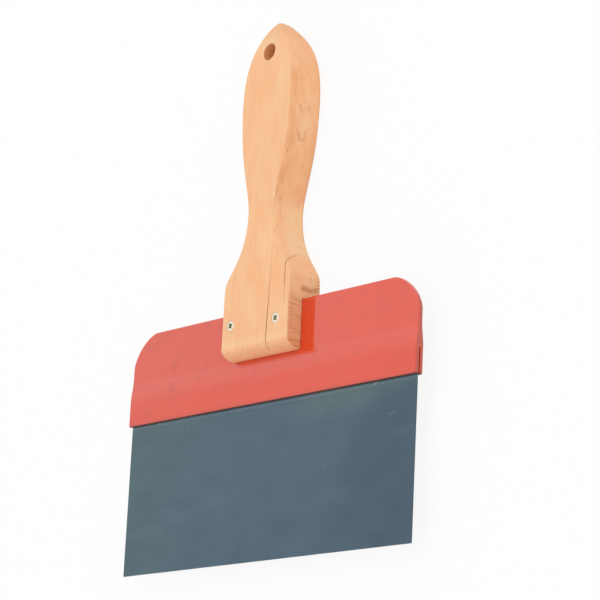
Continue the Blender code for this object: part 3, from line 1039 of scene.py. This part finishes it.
def bulge(share: float, fullness: float) -> float:
    """Return a convex rise from 0 to 1 that starts steep and ends level; more fullness rounds it more."""
    share = min(1.0, max(0.0, share))
    return (1 - (1 - share) ** fullness) ** (1 / fullness)


def ease(share: float) -> float:
    """Return a smooth rise from 0 to 1 that is level at both ends."""
    share = min(1.0, max(0.0, share))
    return share * share * (3 - 2 * share)


@dataclass
class Arc:
    """One cubic stretch of the handle's outline, as (half width, place along Y) points."""

    low: Span
    leave: Span
    arrive: Span
    high: Span
    halvings: int = 40

    def along(self, axis: int, t: float) -> float:
        """Return one coordinate of the arc.

        Args:
            axis: 0 for the half width, 1 for the place along Y.
            t: How far along the arc, from 0 to 1.

        Returns:
            The coordinate.
        """
        u = 1 - t
        ends = u * u * u * self.low[axis] + t * t * t * self.high[axis]
        return ends + 3 * u * u * t * self.leave[axis] + 3 * u * t * t * self.arrive[axis]

    def half_width(self, y: float) -> float:
        """Return the half width where the arc passes a height.

        Args:
            y: The height, along Y.

        Returns:
            The half width there.
        """
        before, after = 0.0, 1.0
        for _ in range(self.halvings):
            middle = (before + after) / 2
            if self.along(1, middle) < y:
                before = middle
            else:
                after = middle
        return self.along(0, before)


@dataclass
class Handle:
    """The wooden handle: a slotted block, a waisted grip and a rounded nose with a hanging hole."""

    finish: SandedWood
    screws: Sequence[Screw]
    toe_width: float = 0.0587
    shoulder_width: float = 0.0581
    shoulder_at: float = 0.0422
    neck_width: float = 0.0253
    neck_at: float = 0.0834
    belly_width: float = 0.0459
    belly_from_tip: float = 0.0497
    nose_length: float = 0.0438
    nose_fullness: float = 3.3
    toe_corner: float = 0.001
    toe_slope: float = 0.0052
    toe_fullness: float = 1.65
    toe_half: float = 0.0026

    # How far each outline arc leaves its ends, as shares of its own span
    flare_leave: Span = (0.09, 0.171)
    flare_arrive: float = 0.568
    grip_leave: float = 0.228
    grip_arrive: float = 0.571
    nose_leave: float = 0.548
    nose_arrive: Span = (0.575, 0.237)

    # Long edges, small on the block and full on the grip
    block_edge: float = 0.0008
    grip_edge: float = 0.003
    edge_share: float = 0.96
    run_out_start: float = 0.036
    run_out_length: float = 0.028
    corner_steps: int = 12

    # How closely the sections follow each other
    toe_steps: int = 16
    block_steps: tuple[float, ...] = (0.010, 0.018, 0.026)
    grip_step: float = 0.0016
    nose_steps: int = 34
    nose_last_angle: float = math.radians(88.5)

    hole_from_tip: float = 0.0198
    hole_radius: float = 0.0052
    hole_x: float = -0.0002
    hole_ease: float = 0.0004
    hole_sides: int = 64
    slot_gauge: float = 0.0032
    screw_gap: float = 0.0001
    crack: Groove = Groove("crack", 0.00044, 0.0009, (
        (0.0093, -0.0408, 0.0180, 0.4), (0.0103, -0.0394, 0.0207, 0.6), (0.0110, -0.0371, 0.0228, 0.9),
        (0.0105, -0.0356, 0.0230, 1.0), (0.0107, -0.0290, 0.0230, 1.0), (0.0109, -0.0237, 0.0230, 1.0),
        (0.0111, -0.0180, 0.0230, 0.75), (0.0117, -0.0114, 0.0230, 0.30), (0.0118, -0.0060, 0.0230, 0.10),
    ))
    rout: Groove = Groove("rout", 0.00050, 0.00050, (
        (0.0250, -0.0168, 0.0230, 0.15), (0.0248, -0.0060, 0.0230, 0.45), (0.0249, -0.0002, 0.0230, 0.65),
        (0.0249, 0.0060, 0.0229, 0.8), (0.0245, 0.0080, 0.0224, 0.8), (0.0240, 0.0094, 0.0209, 0.6),
        (0.0229, 0.0110, 0.0187, 0.3), (0.0218, 0.0126, 0.0164, 0.1),
    ))

    def __post_init__(self) -> None:
        """Take the handle's place from the frame and draw its outline arcs."""
        low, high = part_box("handle")
        self.front_z = high.z
        self.toe_y, self.tip_y = low.y, high.y
        self.middle_z = (low.z + high.z) / 2
        self.full_half = (high.z - low.z) / 2
        self.shoulder_y = self.toe_y + self.shoulder_at
        self.neck_y = self.toe_y + self.neck_at
        self.belly_y = self.tip_y - self.belly_from_tip
        self.nose_y = self.tip_y - self.nose_length
        self.hole_y = self.tip_y - self.hole_from_tip
        shoulder = (self.shoulder_width / 2, self.shoulder_y)
        neck = (self.neck_width / 2, self.neck_y)
        belly = (self.belly_width / 2, self.belly_y)
        flare = (neck[0] - shoulder[0], self.neck_y - self.shoulder_y)
        grip = self.belly_y - self.neck_y
        nose = self.belly_from_tip
        self.arcs = (
            Arc(shoulder, (shoulder[0] + self.flare_leave[0] * flare[0], shoulder[1] + self.flare_leave[1] * flare[1]),
                (neck[0], neck[1] - self.flare_arrive * flare[1]), neck),
            Arc(neck, (neck[0], neck[1] + self.grip_leave * grip),
                (belly[0], belly[1] - self.grip_arrive * grip), belly),
            Arc(belly, (belly[0], belly[1] + self.nose_leave * nose),
                (self.nose_arrive[0] * belly[0], self.tip_y - self.nose_arrive[1] * nose), (0.0, self.tip_y)),
        )

    def half_width(self, y: float) -> float:
        """Return half the handle's width.

        Args:
            y: The height, along Y.

        Returns:
            The half width there.
        """
        for arc in self.arcs:
            if arc.low[1] < y <= arc.high[1] + MERGE:
                return arc.half_width(y)
        share = (y - self.toe_y) / self.shoulder_at
        half = (self.toe_width + (self.shoulder_width - self.toe_width) * share) / 2
        below = max(0.0, self.toe_corner - (y - self.toe_y))
        return half - self.toe_corner + math.sqrt(max(0.0, self.toe_corner ** 2 - below ** 2))

    def half_thickness(self, y: float) -> float:
        """Return half the handle's thickness.

        Args:
            y: The height, along Y.

        Returns:
            The half thickness there.
        """
        from_tip = (self.tip_y - y) / self.nose_length
        if from_tip < 1:
            return self.full_half * bulge(from_tip, self.nose_fullness)
        rise = bulge((y - self.toe_y) / self.toe_slope, self.toe_fullness)
        return self.toe_half + (self.full_half - self.toe_half) * rise

    def edge_radius(self, y: float) -> float:
        """Return the radius of the long edges at a height, which runs out from grip to block."""
        share = ease((y - self.toe_y - self.run_out_start) / self.run_out_length)
        return self.block_edge + (self.grip_edge - self.block_edge) * share

    def stations(self) -> list[float]:
        """Return where the handle's sections lie, close together where it turns fast.

        Returns:
            Heights along Y, rising.
        """
        toe_turn = QUARTER / self.toe_steps
        places = [self.toe_y + self.toe_slope * (1 - math.cos(k * toe_turn)) for k in range(self.toe_steps + 1)]
        places += [self.toe_y + step for step in self.block_steps]
        run_start = self.toe_y + self.run_out_start
        run = self.nose_y - run_start
        count = round(run / self.grip_step)
        places += [run_start + run * k / count for k in range(count)]
        nose_turn = self.nose_last_angle / self.nose_steps
        places += [self.nose_y + self.nose_length * math.sin(k * nose_turn) for k in range(self.nose_steps + 1)]
        return places

    def build(self) -> bpy.types.Object:
        """Loft the handle through its sections and cut its slot, holes and marks.

        Returns:
            The bare wooden piece.
        """
        stations = self.stations()
        wood = Bench.start("handle_wood", bpy.ops.mesh.primitive_plane_add, size=1.0,
                           location=(0.0, stations[0], self.middle_z), rotation=(QUARTER, 0.0, 0.0))
        with Bench.editing(wood):
            bpy.ops.mesh.select_all(action="SELECT")
            self.shape_section(stations[0])
            for y in stations[1:]:
                bpy.ops.mesh.primitive_plane_add(size=1.0, location=(0.0, y, self.middle_z),
                                                 rotation=(QUARTER, 0.0, 0.0))
                self.shape_section(y)
            bpy.ops.mesh.select_all(action="SELECT")
            bpy.ops.mesh.delete(type="ONLY_FACE")
            bpy.ops.mesh.select_all(action="SELECT")
            bpy.ops.mesh.bridge_edge_loops(type="SINGLE")
            bpy.ops.mesh.select_all(action="SELECT")
            bpy.ops.mesh.fill_holes(sides=0)
            Bench.close_up()
        self.cut_slot(wood)
        self.drill_hole(wood)
        for screw in self.screws:
            Bench.cut(wood, screw.turned("countersink", self.screw_gap), Mark.GROOVE)
        for groove in (self.crack, self.rout):
            Bench.cut(wood, Bench.sweep(groove), Mark.GROOVE)
        return wood

    def shape_section(self, y: float) -> None:
        """Turn the selected unit square into the handle's rounded section.

        Args:
            y: Where the section lies, along Y.
        """
        wide = self.half_width(y)
        thick = self.half_thickness(y)
        radius = min(self.edge_share * wide, self.edge_share * thick, self.edge_radius(y))
        Bench.stretch((2 * wide, 1.0, 2 * thick), (0.0, y, self.middle_z))
        bpy.ops.mesh.bevel(affect="VERTICES", offset=radius, segments=self.corner_steps, profile=0.5)

    def cut_slot(self, wood: bpy.types.Object) -> None:
        """Saw the slot that the holder's tongue fills.

        Args:
            wood: The handle with its outer shape.
        """
        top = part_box("holder")[1].y + FIT_GAP
        low = self.toe_y - MARGIN
        tool = Bench.start("slot", bpy.ops.mesh.primitive_cube_add, size=1.0,
                           location=(0.0, (top + low) / 2, self.middle_z),
                           scale=(self.toe_width + 2 * MARGIN, top - low, self.slot_gauge))
        Bench.cut(wood, tool)

    def drill_hole(self, wood: bpy.types.Object) -> None:
        """Drill the hanging hole and break its rims.

        Args:
            wood: The handle with its outer shape.
        """
        tool = Bench.start("hole", bpy.ops.mesh.primitive_cylinder_add, vertices=self.hole_sides,
                           radius=self.hole_radius, depth=2 * (self.full_half + MARGIN),
                           location=(self.hole_x, self.hole_y, self.middle_z))
        Bench.cut(wood, tool, Mark.BORE)
        centre = Vector((self.hole_x, self.hole_y))
        with Bench.editing(wood):
            Bench.pick(wood, lambda place: abs((place.xy - centre).length - self.hole_radius) < NEAR, Element.EDGE)
            cage = bmesh.from_edit_mesh(wood.data)
            for edge in cage.edges:
                if edge.select and abs(edge.verts[0].co.z - edge.verts[1].co.z) > self.full_half:
                    edge.select_set(False)
            bmesh.update_edit_mesh(wood.data)
            bpy.ops.mesh.bevel(offset=self.hole_ease, segments=3, profile=0.5, affect="EDGES")

    def dress(self, wood: bpy.types.Object) -> None:
        """Smooth the handle, finish it and put it in the place of its solid."""
        Bench.smooth(wood)
        settle(wood, self.finish.make(self), "handle")


@dataclass
class Holder:
    """The moulded holder: a tongue for the handle, a flare and a jaw on the blade."""

    finish: GlossyMoulding
    screws: Sequence[Screw]
    blade: Blade
    jaw_height: float = 0.015
    flare_height: float = 0.0145
    tongue_gauge: float = 0.0028
    corner_width: float = 0.021
    corner_height: float = 0.020
    corner_fullness: float = 1.6
    corner_steps: int = 22
    lip_corner: float = 0.001
    lip_steps: int = 5
    edge_round: float = 0.0006
    edge_steps: int = 4
    slot_gauge: float = 0.0009
    mouth_half: float = 0.0011
    mouth_depth: float = 0.0016
    mouth_taper: float = 0.3
    flare_steps: int = 14
    screw_gap: float = 0.0003

    def __post_init__(self) -> None:
        """Take the holder's place from the frame."""
        low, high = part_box("holder")
        self.half = high.x
        self.lip_y, self.top_y = low.y, high.y
        self.middle_z = (low.z + high.z) / 2
        self.jaw_gauge = high.z - low.z
        self.jaw_top = self.lip_y + self.jaw_height
        handle_low, handle_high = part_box("handle")
        self.toe_y, self.toe_half = handle_low.y, handle_high.x

    def build(self) -> bpy.types.Object:
        """Draw the front outline, give it thickness, draw in the tongue and cut its slot and holes.

        Returns:
            The bare moulded piece.
        """
        height = self.top_y - self.lip_y
        centre = (0.0, (self.lip_y + self.top_y) / 2, self.middle_z - self.jaw_gauge / 2)
        moulding = Bench.start("holder_moulding", bpy.ops.mesh.primitive_plane_add, size=1.0, location=centre)
        with Bench.editing(moulding):
            bpy.ops.mesh.select_all(action="SELECT")
            Bench.stretch((2 * self.half, height, 1.0), centre)
            self.shape_corners(moulding)
            bpy.ops.mesh.select_all(action="SELECT")
            Bench.pull((0.0, 0.0, self.jaw_gauge))
            self.draw_tongue(moulding)
            Bench.close_up()
        Bench.round_edges(moulding, self.edge_round, self.edge_steps)
        self.cut_slot(moulding)
        self.open_mouth(moulding)
        for screw in self.screws:
            Bench.cut(moulding, screw.turned("screw_hole", self.screw_gap))
        return moulding

    def shape_corners(self, moulding: bpy.types.Object) -> None:
        """Cut back the two top corners and round the two at the lip.

        Args:
            moulding: The flat outline in edit mode.
        """
        Bench.pick(moulding, lambda place: place.y > self.top_y - MARGIN)
        bpy.ops.mesh.bevel(affect="VERTICES", offset=self.corner_height, segments=self.corner_steps,
                           profile=2 ** (-2 / self.corner_fullness))
        widen = self.corner_width / self.corner_height
        reach = self.corner_height + MARGIN / 2
        for side in Side:
            edge = side.value * self.half
            Bench.pick(moulding, lambda place: abs(place.x - edge) < reach
                       and place.y > self.top_y - self.corner_height - MERGE)
            Bench.stretch((widen, 1.0, 1.0), (edge, 0.0, 0.0))
        Bench.pick(moulding, lambda place: place.y < self.lip_y + MARGIN)
        bpy.ops.mesh.bevel(affect="VERTICES", offset=self.lip_corner, segments=self.lip_steps, profile=0.5)

    def draw_tongue(self, moulding: bpy.types.Object) -> None:
        """Thin the plate from the jaw to the tongue along the flare.

        Args:
            moulding: The plate of full thickness in edit mode.
        """
        stations = [self.jaw_top + self.flare_height * k / self.flare_steps for k in range(self.flare_steps + 1)]
        Bench.slice_across(stations)
        for station in stations[1:-1]:
            share = ease((station - self.jaw_top) / self.flare_height)
            gauge = self.jaw_gauge + (self.tongue_gauge - self.jaw_gauge) * share
            Bench.pick(moulding, lambda place: abs(place.y - station) < NEAR)
            Bench.stretch((1.0, 1.0, gauge / self.jaw_gauge), (0.0, station, self.middle_z))
        Bench.pick(moulding, lambda place: place.y > stations[-1] - NEAR)
        Bench.stretch((1.0, 1.0, self.tongue_gauge / self.jaw_gauge), (0.0, 0.0, self.middle_z))

    def cut_slot(self, moulding: bpy.types.Object) -> None:
        """Cut the blade's slot, with the pegs left standing that lock the blade.

        Args:
            moulding: The holder with its outer shape.
        """
        low = self.lip_y - MARGIN
        top = self.blade.high.y + FIT_GAP
        tool = Bench.start("blade_slot", bpy.ops.mesh.primitive_cube_add, size=1.0,
                           location=(0.0, (low + top) / 2, self.middle_z),
                           scale=(2 * (self.half + MARGIN), top - low, self.slot_gauge))
        for x in self.blade.lock_places():
            Bench.cut(tool, self.blade.lock_punch("peg", x, -FIT_GAP))
        Bench.cut(moulding, tool)

    def open_mouth(self, moulding: bpy.types.Object) -> None:
        """Widen the slot at the lip, where the blade goes in, over the blade's width.

        Args:
            moulding: The holder with its blade slot cut.
        """
        low = self.lip_y - self.edge_round
        top = self.lip_y + self.mouth_depth
        tool = Bench.start("mouth", bpy.ops.mesh.primitive_cube_add, size=1.0,
                           location=(0.0, (low + top) / 2, self.middle_z),
                           scale=(2 * self.blade.high.x, top - low, 2 * self.mouth_half))
        with Bench.editing(tool):
            Bench.pick(tool, lambda place: place.y > self.lip_y)
            Bench.stretch((1.0, 1.0, self.mouth_taper), (0.0, 0.0, self.middle_z))
            Bench.close_up()
        Bench.cut(moulding, tool, Mark.GROOVE)

    def dress(self, moulding: bpy.types.Object) -> None:
        """Smooth the moulding, finish it and put it in the place of its solid."""
        Bench.smooth(moulding)
        settle(moulding, self.finish.make(self), "holder")


@dataclass
class Blade:
    """The spring-steel blade: a thin sheet with eased corners and edges, locked by holes in the holder."""

    finish: BluedSheet
    corner: float = 0.0006
    corner_steps: int = 5
    edge: float = 0.00012
    edge_steps: int = 2
    lock_count: int = 5
    lock_from_end: float = 0.029
    lock_radius: float = 0.003
    lock_below: float = 0.006
    lock_sides: int = 32

    def __post_init__(self) -> None:
        """Take the blade's place from the frame."""
        self.low, self.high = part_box("blade")
        self.middle_y = (self.low.y + self.high.y) / 2
        self.lip_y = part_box("holder")[0].y

    def build(self) -> bpy.types.Object:
        """Shear the sheet to its outline, ease its edges and punch its lock holes.

        Returns:
            The bare sheet.
        """
        size = self.high - self.low
        centre = (self.low + self.high) / 2
        sheet = Bench.start("blade_sheet", bpy.ops.mesh.primitive_plane_add, size=1.0,
                            location=(centre.x, centre.y, self.low.z))
        with Bench.editing(sheet):
            bpy.ops.mesh.select_all(action="SELECT")
            Bench.stretch((size.x, size.y, 1.0), centre)
            bpy.ops.mesh.bevel(affect="VERTICES", offset=self.corner, segments=self.corner_steps, profile=0.5)
            bpy.ops.mesh.select_all(action="SELECT")
            Bench.pull((0.0, 0.0, size.z))
            Bench.close_up()
        Bench.round_edges(sheet, self.edge, self.edge_steps)
        for x in self.lock_places():
            Bench.cut(sheet, self.lock_punch("lock", x))
        return sheet

    def lock_places(self) -> list[float]:
        """Return where the lock holes lie along X."""
        pitch = (self.high.x - self.low.x - 2 * self.lock_from_end) / (self.lock_count - 1)
        return [self.low.x + self.lock_from_end + pitch * k for k in range(self.lock_count)]

    def lock_punch(self, name: str, x: float, grow: float = 0.0) -> bpy.types.Object:
        """Make the round punch of one lock hole.

        Args:
            name: Name of the punch.
            x: Where it stands along X.
            grow: How much larger than the hole its radius is.

        Returns:
            The closed punch.
        """
        return Bench.start(name, bpy.ops.mesh.primitive_cylinder_add, vertices=self.lock_sides,
                           radius=self.lock_radius + grow, depth=2 * MARGIN,
                           location=(x, self.high.y - self.lock_below, (self.low.z + self.high.z) / 2))

    def dress(self, sheet: bpy.types.Object) -> None:
        """Smooth the sheet, finish it and put it in the place of its solid."""
        Bench.smooth(sheet)
        settle(sheet, self.finish.make(self), "blade")


@dataclass
class Screw:
    """A countersunk wood screw with a cross recess, modelled new or copied from a pattern."""

    finish: BrightZinc
    side: Side
    turn: float
    pattern: Screw | None = None
    sides: int = 48
    rim: float = 0.0003
    shank: float = 0.0015
    point: float = 0.004
    point_taper: float = 0.03
    head_ease: float = 0.00018
    recess_span: float = 0.0045
    recess_width: float = 0.0018
    recess_depth: float = 0.0013
    recess_taper: float = 0.60

    def __post_init__(self) -> None:
        """Take the screw's place from the frame."""
        self.node = f"screw_{self.side.name.lower()}"
        low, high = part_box(self.node)
        self.head = (high.x - low.x) / 2
        self.axis = Vector(((low.x + high.x) / 2, (low.y + high.y) / 2, 0.0))
        self.face_z, self.point_z = high.z, low.z

    def build(self) -> bpy.types.Object:
        """Turn the screw, ease the edge of its head and sink its recess.

        Returns:
            The bare screw.
        """
        if self.pattern:
            return self.copied()
        screw = self.turned(f"{self.node}_zinc")
        with Bench.editing(screw):
            Bench.pick(screw, lambda place: place.z > self.face_z - MERGE, Element.FACE)
            bpy.ops.mesh.bevel(offset=self.head_ease, segments=3, profile=0.5, affect="EDGES")
            Bench.close_up()
        for quarter in (0.0, QUARTER):
            Bench.cut(screw, self.wing(self.turn + quarter), Mark.GROOVE)
        self.piece = screw
        return screw

    def copied(self) -> bpy.types.Object:
        """Copy the pattern's screw to this one's place and give it its own turn.

        Returns:
            The bare copy, with its own mesh.
        """
        Bench.take(self.pattern.piece)
        bpy.ops.object.duplicate(linked=False)
        screw = bpy.context.active_object
        screw.name = f"{self.node}_zinc"
        screw.data.name = screw.name
        with Bench.editing(screw):
            bpy.ops.mesh.select_all(action="SELECT")
            bpy.ops.transform.translate(value=self.axis - self.pattern.axis)
            bpy.ops.transform.rotate(value=self.turn - self.pattern.turn, orient_axis="Z", center_override=self.axis)
        return screw

    def turned(self, name: str, gap: float = 0.0) -> bpy.types.Object:
        """Turn the screw's plain shape from a disc, or the hole for it.

        Args:
            name: Name of the piece.
            gap: Clearance all round; with any, the shape also stands out of the wood, to cut its hole.

        Returns:
            The closed shape.
        """
        top = self.face_z + (MARGIN if gap else 0.0)
        bottom = self.face_z - self.rim
        shape = Bench.start(name, bpy.ops.mesh.primitive_cylinder_add, vertices=self.sides, radius=self.head + gap,
                            depth=top - bottom, location=(self.axis.x, self.axis.y, (top + bottom) / 2))
        cone = self.head - self.shank
        steps = (
            (cone, (self.shank + gap) / (self.head + gap)),
            (bottom - self.point_z - cone - self.point, 1.0),
            (self.point + gap, self.point_taper),
        )
        with Bench.editing(shape):
            Bench.pick(shape, lambda place: place.z < bottom + MERGE, Element.FACE)
            for drop, taper in steps:
                Bench.pull((0.0, 0.0, -drop))
                Bench.stretch((taper, taper, 1.0), self.axis)
            Bench.close_up()
        return shape

    def wing(self, turn: float) -> bpy.types.Object:
        """Make one tapering wing of the driver's cross.

        Args:
            turn: The wing's angle about the screw's axis.

        Returns:
            The closed cutter.
        """
        tool = Bench.start("wing", bpy.ops.mesh.primitive_cube_add, size=1.0,
                           location=(self.axis.x, self.axis.y, self.face_z), rotation=(0.0, 0.0, turn),
                           scale=(self.recess_span, self.recess_width, 2 * self.recess_depth))
        with Bench.editing(tool):
            Bench.pick(tool, lambda place: place.z < self.face_z)
            Bench.stretch((self.recess_taper, self.recess_taper, 1.0), self.axis)
            Bench.close_up()
        return tool

    def dress(self, screw: bpy.types.Object) -> None:
        """Smooth the screw, finish it and put it in the place of its solid."""
        Bench.smooth(screw)
        settle(screw, self.finish.make(), self.node)


def settle(piece: bpy.types.Object, material: bpy.types.Material, node: str) -> None:
    """Finish a piece and put it in the place of a solid.

    Args:
        piece: The new piece, with its place in its mesh.
        material: Its finish.
        node: The solid that it stands for.
    """
    Bench.note_marks(piece)
    piece.data.materials.clear()
    piece.data.materials.append(material)
    piece.data.polygons.foreach_set("material_index", [0] * len(piece.data.polygons))
    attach(piece, BODY)
    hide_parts(node)
    LOG.info("%s: %d faces", piece.name, len(piece.data.polygons))


def sphere_direction(azimuth: float, elevation: float) -> Vector:
    """Return the direction to a point of the sky; azimuth 0 lies along -Y and 90 along +X, in degrees."""
    turn, rise = math.radians(azimuth), math.radians(elevation)
    return Vector((math.sin(turn) * math.cos(rise), -math.cos(turn) * math.cos(rise), math.sin(rise)))


@dataclass(frozen=True)
class Lamp:
    """A soft square lamp that faces the knife."""

    name: str
    azimuth: float
    elevation: float
    distance: float
    size: float
    radiance: float

    def light(self, target: Vector) -> None:
        """Hang the lamp round a target.

        Args:
            target: The point that the lamp faces.
        """
        data = bpy.data.lights.new(self.name, "AREA")
        data.size = self.size
        data.energy = self.radiance * math.pi * self.size ** 2
        lamp = bpy.data.objects.new(self.name, data)
        bpy.context.scene.collection.objects.link(lamp)
        back = sphere_direction(self.azimuth, self.elevation)
        lamp.location = target + back * self.distance
        lamp.rotation_euler = back.to_track_quat("Z", "Y").to_euler()


@dataclass
class Studio:
    """A pale floor, soft light and the photograph's camera."""

    aim: Place = (0.025437, 0.146011, 0.0)
    azimuth: float = 72.071
    elevation: float = 38.602
    roll: float = -75.812
    distance: float = 1.40167
    lens: float = 149.322
    sensor: float = 36.0
    sky: float = 0.96
    floor_size: float = 12.0
    floor_colour: Colour = (0.95, 0.95, 0.95)
    floor_white: float = 0.90
    floor_roughness: float = 0.9
    lamp_target: Place = (0.0, 0.0, 0.012)
    lamps: tuple[Lamp, ...] = (
        Lamp("window", 180.0, 50.0, 1.8, 1.6, 0.22),
        Lamp("glint", 119.0, 31.0, 1.8, 0.3, 2.4),
    )

    def build(self) -> None:
        """Set up the camera, sky, floor and lamps."""
        self.set_camera()
        self.set_sky()
        self.lay_floor()
        for lamp in self.lamps:
            lamp.light(Vector(self.lamp_target))
        bpy.context.scene.view_settings.view_transform = "Standard"

    def set_camera(self) -> None:
        """Aim the camera as the photograph's was."""
        back = sphere_direction(self.azimuth, self.elevation)
        level = Vector((math.cos(math.radians(self.azimuth)), math.sin(math.radians(self.azimuth)), 0.0))
        upright = back.cross(level)
        roll = math.radians(self.roll)
        right = level * math.cos(roll) + upright * math.sin(roll)
        up = back.cross(right)
        data = bpy.data.cameras.new("photo_camera")
        data.lens = self.lens
        data.sensor_width = self.sensor
        camera = bpy.data.objects.new("photo_camera", data)
        bpy.context.scene.collection.objects.link(camera)
        edge_low, edge_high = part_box("blade")
        target = Vector((0.0, edge_low.y, (edge_low.z + edge_high.z) / 2)) + Vector(self.aim)
        place = target + back * self.distance
        camera.matrix_world = Matrix.Translation(place) @ Matrix((right, up, back)).transposed().to_4x4()
        bpy.context.scene.camera = camera

    def set_sky(self) -> None:
        """Light the scene evenly from a pale sky that looks white itself."""
        world = bpy.data.worlds.new("pale_sky")
        world.use_nodes = True
        bpy.context.scene.world = world
        nodes, links = world.node_tree.nodes, world.node_tree.links
        ground = nodes["Background"]
        ground.inputs["Color"].default_value = WHITE
        path = nodes.new("ShaderNodeLightPath")
        seen = nodes.new("ShaderNodeMath")
        seen.operation = "MAXIMUM"
        links.new(path.outputs["Is Camera Ray"], seen.inputs[0])
        links.new(path.outputs["Is Glossy Ray"], seen.inputs[1])
        level = nodes.new("ShaderNodeMapRange")
        level.inputs["To Min"].default_value = self.sky
        level.inputs["To Max"].default_value = 1.0
        links.new(seen.outputs[0], level.inputs["Value"])
        links.new(level.outputs[0], ground.inputs["Strength"])

    def lay_floor(self) -> None:
        """Lay a pale floor that looks white but keeps the knife's shadow."""
        floor = Bench.start("floor", bpy.ops.mesh.primitive_plane_add, size=self.floor_size)
        paint = Paint("pale_floor")
        paint.set(Base_Color=(*self.floor_colour, 1.0), Roughness=self.floor_roughness, Specular_IOR_Level=0.0)
        seen = paint.add("ShaderNodeLightPath", output="Is Camera Ray")
        glow = paint.add("ShaderNodeEmission", sockets={"Color": WHITE, "Strength": 1.0})
        matt = Wire(paint, paint.shader.outputs[0])
        mixed = paint.add("ShaderNodeMixShader", sockets={0: seen * self.floor_white, 1: matt, 2: glow})
        paint.feed(paint.tree.nodes["Material Output"].inputs["Surface"], mixed)
        floor.data.materials.append(paint.material)


def main() -> None:
    """Build the knife piece by piece, dress the pieces and set up the studio."""
    logging.basicConfig(level=logging.INFO, format="%(name)s %(message)s")
    left = Screw(BrightZinc(), Side.LEFT, math.radians(25))
    right = Screw(BrightZinc(), Side.RIGHT, math.radians(10), left)
    screws = (left, right)
    blade = Blade(BluedSheet())
    parts = (Handle(SandedWood(), screws), Holder(GlossyMoulding(), screws, blade), blade, left, right)
    built = [(part, part.build()) for part in parts]
    for part, piece in built:
        part.dress(piece)
    Studio().build()


if __name__ == "__main__":
    main()
